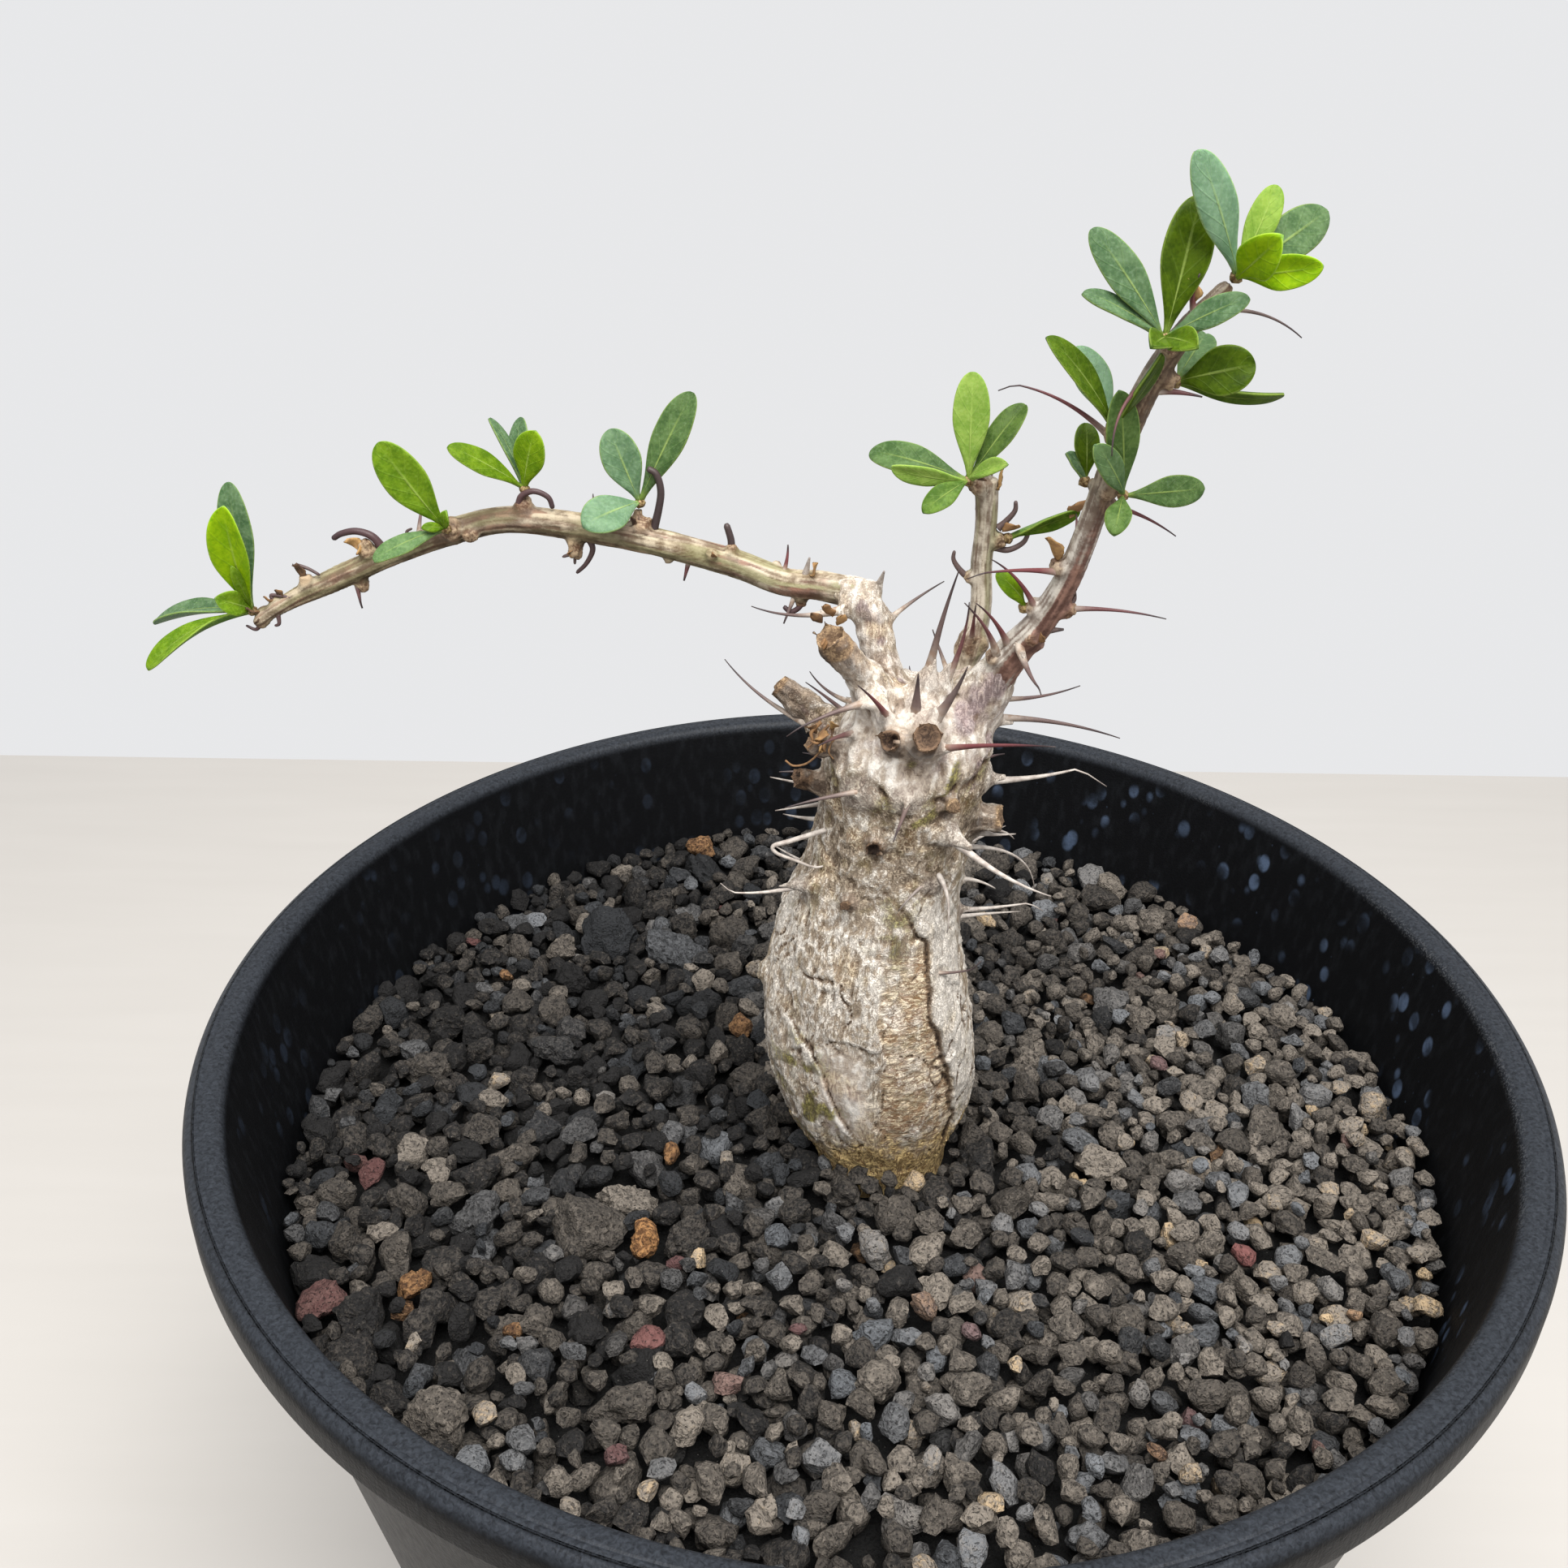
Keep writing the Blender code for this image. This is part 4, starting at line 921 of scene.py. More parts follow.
TRUNK_SPINES = (  # root, reach, radius, how red, radius of the bark's cone under it, bend, hook
    ((-5, -4, 168.7), (-8, 2, -0.5), 0.55, 0.25, 0.7, -0.6),
    ((0.6, -2.2, 167.3), (5.6, 4, 2.9), 0.5, 0.2, 1.2, 0.2),
    ((-0.2, -3.4, 172), (0.3, -1, 1.3), 0.4, 0.1, 0.7),
    ((-7.8, -2, 155.7), (-8.4, 4, 4.8), 0.6, 0.25, 0.9, (-0.4, 0, -0.5)),
    ((-2.4, -3, 158.5), (-4.8, 5, 1), 0.5, 0.25, 0.8, (-0.3, 0, -0.5)),
    ((-0.8, -10.5, 162.2), (-7.2, -4.2, -1.5), 0.75, 0.5, 1.1, 0.3, (-0.4, 0, -0.5)),
    ((1.1, -11.6, 161.1), (-2.9, -4.5, 5.4), 0.7, 0.9, 1.2, (0.3, 0, 0)),
    ((4.7, -8, 163.2), (2.4, -1.2, 12.6), 1.15, 0.45, 1.9, (-0.2, 0, 0.1)),
    ((6.8, -7.8, 164), (1.4, -1.2, 8.3), 0.6, 0.8, 1, (0.4, 0, 0)),
    ((7.1, -1.6, 161.5), (-1.8, 2, 4), 0.45, 0.2, 0.7),
    ((7.2, -1, 160.9), (-4.7, 3, -3.2), 0.5, 0.1, 0.7, 0.4),
    ((11, -8.6, 167.5), (-3.4, -3.2, 5.8), 0.55, 0.8, 0.4, (0.4, 0, 0)),
    ((13.4, -9.2, 167.6), (1.6, -6, -1.2), 0.62, 0.55, 0.8, -0.5, -0.4),
    ((11.9, -6, 161.1), (8.1, 1, 1.3), 0.55, 0.6, 0.9, -0.5),
    ((10.8, -5.4, 158.6), (14.1, 2.2, -2.7), 0.95, 0.5, 1.9, 0.7),
    ((6, -12.6, 158.5), (10.1, -8.2, 5), 0.75, 1, 1.3, 0.3),
    ((10.9, -5.2, 151.3), (11.2, 0.2, 2.3), 0.95, 0.06, 1.7, -0.5, (1.8, 0, -2.4)),
    ((3.8, -12.6, 153.8), (-1.6, -6.2, -1.9), 0.7, 0.4, 1.6, -0.4, -0.3),
    ((0.4, -11.6, 153.2), (-9, -1.4, -1.8), 0.8, 0.2, 1.8, 0.25),
    ((7.4, -11.6, 148.7), (10, -8.3, -1.6), 1.1, 0, 2.1, -0.9),
    ((10.4, -3.4, 143.6), (5.2, 3, -1.9), 0.5, 0.1, 0.8, (0.5, 0, 0.9)),
    ((9.9, -3, 141.9), (8.8, 5, -8), 0.5, 0, 0.9, (1.6, 0, 1.7)),
    ((9.3, -3.4, 134), (9.4, 1, 1.1), 0.65, 0, 1.4, -0.2, (0.6, 0, -1.2)),
    ((-6.2, -7.8, 139.4), (-9.2, -1.1, -0.9), 0.65, 0, 2, -0.6, (-0.2, 0.2, 0.9)),
    ((-4.6, -3, 146.6), (-5.6, -1.4, -0.5), 0.45, 0.05, 0.8),
    ((-4.8, -3.2, 148.4), (-6, -0.8, 1.5), 0.5, 0.1, 0.9),
    ((-4.6, -4, 150.4), (-5.2, -0.8, 0.6), 0.5, 0.2, 0.8, 0.2),
    ((7, -10.9, 143.3), (1.3, -2.6, -5.4), 0.5, 0, 0.8, (0.5, -0.5, 0.9)),
    ((6.5, -11.2, 143), (-3.3, -2.2, -2.8), 0.45, 0.15, 0.6, (0, -0.3, 0.5)),
    ((5, -10.8, 160), (3.3, -1.8, 7.3), 1.5, 0.2, 1.5, (0.3, 0, -0.2)),
    ((3.8, -10.2, 159.8), (0, -1.2, 6), 1.5, 0.25, 1.3),
    ((7, -11.5, 131.4), (4.9, -1, 1.6), 0.36, 0.4, 0.4, -0.3, (0.2, 0, 0.9)),
    ((-2, -9.4, 158.3), (-3.4, -4.2, 0.5), 0.6, 0.7, 1, 0.2),
    ((10.6, -4.2, 144.6), (4.8, 1, -0.6), 0.55, 0, 1, -0.2),
    ((10.2, -3.8, 138.4), (3.6, 0.6, -1.4), 0.4, 0, 0.7, 0.3),
)
LOOP_SPINE = ((-4.4, -7.2, 145.8), (-8.2, -8.6, 145.0), (-10.0, -9.0, 144.5), (-9.6, -9.1, 143.7),
              (-7.6, -8.9, 142.8), (-5.6, -8.4, 141.8), (-3.8, -8.0, 142.2))
BACK_SPINES = 19
BACK_BEARINGS = (28, 152)
BACK_HEIGHTS = (26, 55)
GOLDEN_TURN = 0.618
OLD_BELOW = 42  # height over the grit under which the spines are dead and grey
SPINE_SEED = 31


def back_spines(draw):
    """The far side, which the picture hides, has spines as close together as the near side."""
    grown = []
    for k in range(BACK_SPINES):
        turn = math.radians(np.interp(k * GOLDEN_TURN % 1, (0, 1), BACK_BEARINGS))
        height = np.interp((k + 0.5) / BACK_SPINES, (0, 1), BACK_HEIGHTS)
        radius, x, y = (np.interp(height, *zip(*((row[0], row[n]) for row in TRUNK))) for n in (1, 2, 3))
        out = np.array([math.cos(turn), math.sin(turn), 0.0])
        root = np.array([x, y, GRIT_LEVEL + height]) + out * (radius - 0.8)
        reach = out * draw.uniform(5, 10.5) + (0, 0, draw.uniform(-2.0, 3.5))
        red = 0.05 if height < OLD_BELOW else 0.6
        bend = draw.uniform(-0.8, 0.6)
        radius = draw.uniform(0.5, 0.85)
        grown.append((root, reach, radius, red, 1.8 * radius, bend))
    return grown


# %% [markdown]
# The bark of the swollen part peels in papery sheets. A sheet is a plateau of a slow noise, so its outline
# wanders and its edge is a small step that rolls outwards; cracks run where another noise passes zero.
# The few edges that the picture shows plainly are drawn as lines on the unrolled bark and raised on one
# side. Higher up the bark is thick, knobbly and creased like a knuckle.

# %% Raise the bark
SKIN_SPAN = 11.0  # millimetres of bark for each radian round the swollen part
KNOBBLY = (33.0, 40.0)  # heights between which the sheets give way to knobbly bark
FLAP_EDGE = ((-81, 37.2), (-68, 35.4), (-55, 31.5), (-51, 29.2), (-52, 23.1), (-46, 17.8), (-43, 13.6),
             (-36, 9.5), (-32, 7.0), (-33, 3.0))
LEFT_RIDGE = ((-153, 22.4), (-145, 20.6), (-136, 19.8), (-126, 18.5), (-118, 15.4), (-112, 11.1),
              (-105, 7.5))
MIDDLE_CRACK = ((-92, 34.0), (-84, 29.3), (-85, 23.9), (-83, 18.0), (-87, 12.9), (-84, 7.0), (-80, 2.0))
LEFT_CRACK = ((-140, 27.1), (-121, 26.9), (-108, 26.7), (-101, 24.2), (-106, 20.9), (-114, 19.4))

DUSKY = (  # lines along which the bark is purple-grey: start, end, radius
    ((8.6, -8.6, 159.5), (11.6, -8.2, 164.5), 2), ((0.2, -5.2, 166.5), (-1.8, -4.6, 169.4), 1.1),
    ((3, -6, 160), (1.8, -5.8, 165), 0.9), ((-3, -5.6, 154.8), (-7.6, -3.4, 157.4), 0.8),
    ((9.6, -9.4, 153.5), (11.4, -7.4, 157.2), 1.2),
)
YELLOWED = (  # creases with an olive bloom
    ((8.6, -11.6, 156.4), (7.2, -12.6, 152), 1.1), ((3.6, -12.4, 157), (2.4, -12.2, 155.6), 0.8),
    ((7.2, -12.6, 152), (4.6, -13, 150.4), 0.8),
    ((6, -12.8, 143), (7.4, -12.2, 141.4), 0.6),
)
MOSS = (  # patches of moss: bearing, height, width in degrees, height in millimetres, strength
    (-134, 11, 17, 7, 1.5), (-120, 8, 12, 4, 1.4), (-79, 32.6, 10, 3.6, 0.9),
    (-38, 7, 12, 3.4, 0.7), (-85, 37.5, 22, 2.2, 0.5), (-20, 30, 10, 3, 0.4),
    (-150, 36, 18, 3, 0.5),
)


def line_gap(bearing, height, corners):
    """Distance on the unrolled bark to a line given by its corners, positive on the line's right as it
    runs down. The nearest of its straight parts counts."""
    here = np.stack([bearing * SKIN_SPAN, height], -1)
    line = np.array([(math.radians(a) * SKIN_SPAN, h) for a, h in corners])
    best = np.full(len(here), 99.0)
    signed = best.copy()
    for start, end in zip(line, line[1:]):
        run = end - start
        t = np.clip((here - start) @ run / (run @ run), 0, 1)
        gap = np.linalg.norm(here - start - t[:, None] * run, axis=-1)
        across = (here - start) @ np.array([-run[1], run[0]]) / np.linalg.norm(run)
        signed = np.where(gap < best, np.copysign(gap, across), signed)
        best = np.minimum(best, gap)
    return signed


def near(value, middle, width):
    """A soft hump: 1 at its middle, falling as e^-((value - middle) / width)^2."""
    return np.exp(-((value - middle) / width)**2)


def within(value, low, high, edge):
    """1 between two bounds, with soft edges."""
    return ramp(value, low - edge, low + edge) * ramp(value, high + edge, high - edge)


def curly(places, size, seed):
    """Wrinkles of about this size: 1 along the zero lines of a noise and falling to -0.5 between them. The
    places are first moved by a slower noise, so that the lines curl."""
    moved = places + 0.9 * size * np.stack([noise(places / (2.3 * size), seed + k) for k in range(3)], -1)
    return 1 - np.clip(2.6 * np.abs(noise(moved / size, seed + 3)), 0, 1.5)


def sheet_relief(height, bearing):
    """The swollen part's peeling bark: its relief in mm, and a dict of what its finish needs to know."""
    around = np.stack([SKIN_SPAN * np.cos(bearing), SKIN_SPAN * np.sin(bearing), height], -1)
    warped = around + 1.2 * np.stack([rough(around / 5, 2, s) for s in (40, 41, 42)], -1)
    slow = rough(warped / (4.2, 4.2, 12), 3, 50)
    sheet = ramp(slow, 0.00, 0.05)
    rolled = near(slow, 0.06, 0.04)
    crack = near(noise(warped / (2.8, 2.8, 8), 56), 0, 0.03) * ramp(noise(around / 6, 57), 0.0, 0.4)
    flow = 0.09 * curly(warped * (1, 1, 0.3), 1.3, 58) + 0.07 * curly(around * (1, 1, 0.4), 0.7, 62)
    relief = 0.16 * sheet + 0.12 * rolled - 0.18 * crack + 0.1 * rough(around / 3, 2, 66)
    wander = 0.55 * rough(around / 2.6, 2, 63)
    flap, ridge, middle, left = (line_gap(bearing, height, line) + wander
                                 for line in (FLAP_EDGE, LEFT_RIDGE, MIDDLE_CRACK, LEFT_CRACK))
    front = ramp(np.abs(bearing + math.radians(82)), 1.25, 0.85)
    raised = ramp(flap, -0.1, 0.16) * np.exp(-np.clip(flap, 0, None) / 5.0)
    lifted = ramp(ridge, 0.12, -0.18) * np.exp(np.clip(ridge, None, 0) / 3.0)
    panel = ramp(middle, 0.1, 0.6) * ramp(flap, -0.05, -0.35) * within(height, 3, 31, 1.5)
    ripple = 0.09 * curly(around * (1, 1, 2.0), 1.0, 70) + 0.05 * curly(around * (1, 1, 1.6), 0.6, 76)
    flow = flow * (1 - panel) + ripple * panel
    broken = ramp(noise(around / 2.4, 69), -0.45, 0.1)
    split = 0.35 * near(middle, 0, 0.2) * broken * ramp(height, 36, 33)
    split += near(left, 0, 0.16) * (0.4 + 0.6 * broken)
    sheen = within(bearing, math.radians(-118), math.radians(-90), 0.06) * within(height, 6, 19, 1.6)
    fold_line = height + 0.9 * rough(around / 2.6, 2, 71) + 1.1 * np.cos(2.6 * bearing)
    folds = np.sin(TAU * fold_line / 2.3) * (0.6 + 0.5 * noise(around / 3, 73))
    folds *= within(height, 31.5, 38.0, 1.4)
    foot = ramp(height + 2.6 * rough(around / 2.2, 3, 68), 6.6, 1.2)
    relief = (relief + flow) * (1 - 0.3 * panel) * (1 - 0.6 * sheen) * (1 - 0.5 * near(height, 34.5, 2.5))
    torn = 0.42 * raised + 0.5 * lifted * ramp(ridge, -6, -1) - 0.22 * split - 0.15 * panel
    relief += front * torn + 0.1 * folds
    # Painted shade: the cracks, splits and fold troughs are darkened through the crease tag, and the dark
    # line just outside the raised edges of the flap and the ridge is their painted shadow.
    deep = 0.35 * crack + front * 0.55 * split + 0.08 * np.clip(-folds, 0, 1)
    edges = near(flap, -0.18, 0.2) * (0.75 + 0.4 * noise(around / 1.6, 74)) + 0.55 * near(ridge, 0.2, 0.2)
    deep = np.maximum(deep, front * np.clip(edges, 0, 1))
    bare = (1 - sheet) * ramp(noise(around / 3.6, 72), 0.0, 0.5) * 0.55
    worn = 0.85 * panel * ramp(rough(around / 2.4, 2, 77), -0.9, 0.6)
    ochre = worn + bare + 0.8 * front * near(flap, -0.8, 0.7)
    # The raised flap and the lip of the ridge are paler: partly paler bark, partly a painted highlight where
    # they stand out.
    pale = front * (raised * ramp(flap, 0.2, 0.8) + 0.8 * lifted * near(ridge, -0.5, 0.6))
    return relief, dict(deep=deep, ochre=ochre, smooth=sheen, pale=pale, panel=panel, foot=foot,
                        flow=0.5 + 3.0 * flow)


def knuckle_relief(points):
    """The thick bark above: rounded bumps under curly wrinkles."""
    bumps = 0.34 * noise(points / 2.6, 80) + 0.08 * noise(points / 1.4, 81)
    wrinkles = 0.12 * curly(points * (1, 1, 0.85), 1.7, 83) + 0.07 * curly(points * (1, 1, 0.9), 0.9, 88)
    return bumps, wrinkles


def dress_trunk(trunk):
    """Moves the trunk's points along their normals and gives the tags that the bark's finish reads."""
    points = trunk.points
    height, bearing = trunk_place(points)
    out = normals(trunk)
    knobbly = ramp(height + 1.5 * noise(points / 4, 79), *KNOBBLY)
    relief, sheet = sheet_relief(height, bearing)
    bumps, wrinkles = knuckle_relief(points)
    toward = np.abs(bearing + math.radians(86))
    wander = 1.3 * noise(points / 3.2, 78) + 0.5 * noise(points / 1.4, 85)
    seam = height - 49.6 - 1.5 * toward**1.3 + wander
    facing = ramp(toward, 1.7, 1.2) * ramp(out[:, 1], 0.35, -0.15)
    collar = ramp(seam, 0.0, 1.2) * ramp(height, 60.5, 57.5) * ramp(out[:, 1], 0.5, -0.2)
    limbs = ramp(height, 57.0, 60.0)
    lengthwise = 0.12 * rough(points / (0.55, 0.55, 2.6), 2, 96)
    drawn_in = 0.26 * rough(points / (1.1, 1.1, 4.0), 2, 98)
    bumps *= 1 - 0.45 * collar - 0.3 * limbs
    wrinkles *= 1 - 0.5 * collar - 0.5 * limbs
    overhang = 0.28 * ramp(seam, -0.25, 0.45) * np.exp(-np.clip(seam, 0, None) / 4.5) * facing
    groove = 0.12 * near(seam, -0.4, 0.45) * facing
    upper = bumps - 0.3 + 1.35 * wrinkles + lengthwise * limbs + drawn_in * collar + overhang - groove
    total = (relief - 0.25) * (1 - knobbly) + upper * knobbly + 0.05 * rough(points / 0.6, 2, 90)
    cones = spine_cones(points)
    total = np.where(height < -1, 0, total * (1 - cones))
    points += out * total[:, None]
    hollow = hollowness(trunk, 5)
    sides, grain, faces = stump_ends(points)
    swollen = 1 - knobbly
    # Painted shadow under the collar's overhang: a dark line along its seam, and beside it an olive tint that
    # is partly stain and partly painted shade.
    seam_shadow = knobbly * facing * near(seam, -0.4, 0.4) * ramp(noise(points / 1.5, 82), -0.3, 0.3)
    seam_olive_and_shadow = knobbly * facing * near(seam, -0.7, 0.8) * ramp(noise(points / 2, 87), -0.4, 0.3)
    moss = moss_places(height, bearing) * ramp(rough(points / 1.8, 3, 94), -0.1, 0.5)
    peeled = knobbly * (1 - collar) * 0.7 * ramp(rough(points / 2.2, 2, 92), 0.1, 0.7)
    trunk.tags = dict(
        # crease: painted shade in the mesh's hollows, the sheets' cracks and edges, and the collar's seam
        crease=ramp(hollow, 0.01, 0.2) * (1 - cones) + 0.8 * sheet["deep"] * swollen + 0.3 * seam_shadow,
        ochre=sheet["ochre"] * swollen + peeled,
        smooth=sheet["smooth"] * swollen + 0.9 * collar * ramp(seam, -0.4, 2.2) + 0.5 * limbs,
        pale=sheet["pale"] * swollen, panel=sheet["panel"] * swollen, foot=sheet["foot"],
        flow=sheet["flow"] * swollen + (0.45 + 3.5 * wrinkles) * knobbly,
        moss=np.maximum(moss, np.maximum(stained(points, YELLOWED), 0.6 * seam_olive_and_shadow)),
        # peak: where the bark bulges out it is paler, partly its own colour and partly a painted highlight
        dusk=stained(points, DUSKY), peak=ramp(hollow, 0.02, -0.14), cone=cones, stub=sides,
        grain=0.5 + 0.7 * grain, dead=faces[0], dark=faces[1])
    trunk.tags = {tag: np.clip(value, 0, 1) for tag, value in trunk.tags.items()}
    return trunk


def beside_line(points, start, ahead):
    """How far along a line each point is, the way to it from there, and how far that is."""
    along = (points - start) @ ahead
    aside = points - start - along[:, None] * ahead
    return along, aside, np.linalg.norm(aside, axis=-1)


def spine_cones(points):
    """1 on the cones of bark that carry the spines: past the bark's face and close to a spine's axis."""
    on_cone = np.zeros(len(points))
    for root, reach, _, _, foot, *_ in trunk_spines:
        along, _, gap = beside_line(points, root, unit(np.array(reach, float)))
        beside = ramp(gap, 1.2 * foot + 0.3, 0.7 * foot + 0.2)
        low = ramp(along, 1.7 * foot + 1.0, 1.7 * foot + 0.5) * ramp(along, -0.2, 0.9)
        on_cone = np.maximum(on_cone, beside * low)
    return on_cone


def stained(points, stains):
    """Soft stains, each along a short line from one place to another and of its own radius."""
    stain = np.zeros(len(points))
    for start, end, radius in stains:
        start, run = np.array(start), np.array(end) - start
        t = np.clip((points - start) @ run / (run @ run), 0, 1)
        gap = np.linalg.norm(points - start - t[:, None] * run, axis=-1) + 0.4 * radius * noise(points, 84)
        stain = np.maximum(stain, ramp(gap, radius, 0.45 * radius))
    return stain


def moss_places(height, bearing):
    """Where green dust and moss have settled, each place a soft patch on the unrolled bark."""
    return np.clip(sum(share * near(np.degrees(bearing), at, wide) * near(height, middle, tall)
                       for at, middle, wide, tall, share in MOSS), 0, 1)


def stump_ends(points):
    """How near each point is to a stump's end, its lengthwise grain, whether it lies on the cut face and
    how dark that is."""
    beside, grain, face, shade = np.zeros((4, len(points)))
    for start, end, _, narrow, hollow, dark in STUMPS:
        ahead = unit(np.array(end) - start)
        along, aside, gap = beside_line(points, end, ahead)
        close = ramp(gap, narrow * 1.5, narrow * 1.25)
        around = aside / np.clip(gap, 0.1, None)[:, None] * 2.6
        grain += close * (dark > 0) * rough(around + np.outer(along / 5, ahead), 2, 99)
        beside = np.maximum(beside, close * ramp(along, -7.5, -1.5) * (dark > 0))
        on_cut = ramp(gap, narrow * 1.02, narrow * 0.88) * ramp(along, -hollow - 0.7, -hollow - 0.3)
        on_cut *= dark > 0
        ring = near(gap, narrow * 0.8, narrow * 0.16)
        # The cut face: dead wood, darkened with painted shade inside the hollow end, and lighter at its ring
        # and rim.
        dead_wood_and_shade = dark * (1 - 0.45 * ring) + 0.35 * ramp(gap, narrow * 0.9, narrow)
        shade = np.where(on_cut > face, dead_wood_and_shade, shade)
        face = np.maximum(face, on_cut)
    return beside, grain, (face, shade)


def spine_foot(root, reach, radius, foot):
    """The cone of bark that a trunk spine stands on. It flares by the square of how near its foot is."""
    root, reach = np.array(root, float), np.array(reach, float)
    t = np.linspace(0, 1, 9)
    rise = -1.6 + t * (1.6 + 1.7 * foot)
    length = np.linalg.norm(reach)
    wide = spine_radius(rise.clip(0) / length, length, radius) + 1.0 * foot * (1 - t)**1.9
    return tube(root + rise[:, None] * unit(reach), wide, 16, ahead=unit(reach))


trunk_spines = [*TRUNK_SPINES, *back_spines(np.random.default_rng(SPINE_SEED))]
solids = [bottle()]
solids += [tube(rows[:, :3], rows[:, 3], 26) for rows in (smooth_path(limb, 6) for limb in LIMBS.values())]
solids += [stump(*row[:5]) for row in STUMPS]
solids += [spine_foot(root, reach, radius, foot) for root, reach, radius, _, foot, *_ in trunk_spines]
trunk_skin = dress_trunk(smoothed(filleted(smoothed(fused(solids, VOXEL), 2), FILLET_ROUNDS), 2))
print(f"trunk: {len(trunk_skin.points)} points round {len(solids)} forms")

# %% [markdown]
# Bark is matte. Its sheets are beige-grey and paler where they stand out, partly their own colour and partly
# a painted highlight; the creases are brown and darken to near black as painted shade, and ochre shows where
# a sheet has come off. The foot is golden where the grit keeps it damp. The tags say where each colour
# belongs, and noise breaks up its edge.

# %% Finish the bark
def bark_finish():
    finish = Finish("bottle_bark", Specular_IOR_Level=0.2)
    up = finish.coordinate("Z")
    low = up.step((GRIT_LEVEL + 40) * MM, (GRIT_LEVEL + 31) * MM)
    limb = up.step((GRIT_LEVEL + 55) * MM, (GRIT_LEVEL + 59) * MM)
    smooth, crease, flow, dusk, panel, foot, moss, peak = (
        finish.tag(name) for name in ("smooth", "crease", "flow", "dusk", "panel", "foot", "moss", "peak"))
    neck = (1 - low) * (1 - limb) * (1 - smooth)
    broad = finish.noise(4.5, 3)
    mottle = finish.noise((1.5, 1.5, 2.2), 4, (3, 3, 8), 1.2)
    curl = finish.noise(0.9, 4, distortion=1.8)
    swirling = finish.noise((0.5, 0.5, 0.62), 4, distortion=1.7)
    wavy = finish.noise((0.36, 0.36, 1.4), 4, distortion=1.3)
    rippled = finish.noise((1.0, 1.0, 0.34), 3, distortion=0.9)
    lengthwise = wavy + (rippled - wavy) * panel
    thread = swirling + (lengthwise - swirling) * low.most(limb)
    grain = finish.noise(0.15, 3)
    veins = curl.near(0.5, 0.04)
    long_veins = mottle.near(0.5, 0.016)
    hairs = thread.near(0.47, 0.035)
    # peak paints the bulges paler: partly the bark's own colour, partly a painted highlight.
    tone = (mottle.step(0.3, 0.7) * 0.48 + thread.step(0.34, 0.66) * 0.32 + flow * 0.36
            + peak * 0.4 + (broad - 0.5) * 1.1 + low * 0.16 + finish.tag("pale") * 0.85 - neck * 0.1)
    base = finish.mix((0.105, 0.076, 0.052), (0.37, 0.3, 0.225), tone.step(0.15, 0.6))
    base = base.to((0.74, 0.69, 0.62), tone.step(0.6, 1.12))
    soft = flow * 0.4 + peak * 0.5 + broad * 0.8 + (mottle - 0.5) * 0.9 + (thread - 0.5) * 0.35
    cream = finish.mix((0.165, 0.12, 0.093), (0.41, 0.35, 0.295), soft.step(0.26, 0.56))
    cream = cream.to((0.74, 0.7, 0.645), soft.step(0.54, 0.94))
    base = base.to(cream, smooth * 0.9)
    lilac = finish.noise(2.6, 3, (5, 2, 1)).step(0.5, 0.68) * 0.42
    purple = finish.mix((0.12, 0.08, 0.086), (0.33, 0.255, 0.265), thread.step(0.36, 0.62))
    base = base.to(purple, (dusk * 0.85).most(smooth * lilac))
    ragged = thread + (curl - 0.5) * 0.5
    ochre = finish.mix((0.32, 0.175, 0.075), (0.76, 0.62, 0.42), ragged.step(0.36, 0.6))
    base = base.to(ochre, (finish.tag("ochre") + (thread - 0.5) * 1.4) * 0.72)
    rusty = rippled.near(0.46, 0.05).most(veins * 0.6) * panel * finish.noise(3, 2, (2, 2, 6)).step(0.35, 0.6)
    base = base.to((0.26, 0.105, 0.038), rusty * 0.65)
    olive = finish.noise(2.1, 4, (1, 7, 3)).step(0.52, 0.74)
    base = base.to((0.175, 0.138, 0.052), olive * (1 - smooth * 0.6) * (neck * 0.2 + 0.42))
    woven = curl * 0.5 + thread * 0.5
    green = finish.mix((0.075, 0.065, 0.021), (0.34, 0.3, 0.115), woven.step(0.4, 0.6))
    base = base.to(green, (moss + (mottle - 0.5) + (thread - 0.5) * 1.6) * moss.step(0, 0.3))
    golden = finish.mix((0.22, 0.122, 0.038), (0.84, 0.62, 0.29), woven.step(0.4, 0.58))
    base = base.to(golden, (foot + (curl - 0.5) * 0.9) * foot.step(0, 0.2))
    marks = (veins * 0.7).most(hairs * 0.7).most(long_veins) * (1 - smooth * 0.75)
    base = base.to((0.145, 0.088, 0.052), marks * 0.55)
    # Creases go brown, which is partly the bark's own colour, and near black as painted shade where the
    # crease tag is strongest.
    lines = crease + (thread - 0.5) * 0.6 + (curl - 0.5) * 0.4 + veins * 0.15
    base = base.to((0.125, 0.078, 0.046), lines.step(0.16, 0.55) * (1 - smooth * 0.35) * 0.85)
    base = base.to((0.036, 0.022, 0.014), lines.step(0.6, 1.05))
    stripe = finish.tag("grain") + (curl - 0.5) * 0.8
    stub = finish.mix((0.078, 0.052, 0.038), (0.29, 0.222, 0.168), stripe.step(0.2, 0.72))
    stub = stub.to((0.56, 0.5, 0.43), stripe.step(0.78, 1.15))
    base = base.to(stub, finish.tag("stub") * 0.9)
    cone = finish.mix((0.2, 0.155, 0.13), (0.5, 0.44, 0.38), (thread * 0.5 + mottle * 0.5).step(0.36, 0.6))
    base = base.to(cone, finish.tag("cone") * 0.75)
    cracked = finish.noise(0.8, 4, (2, 9, 4), 2.5)
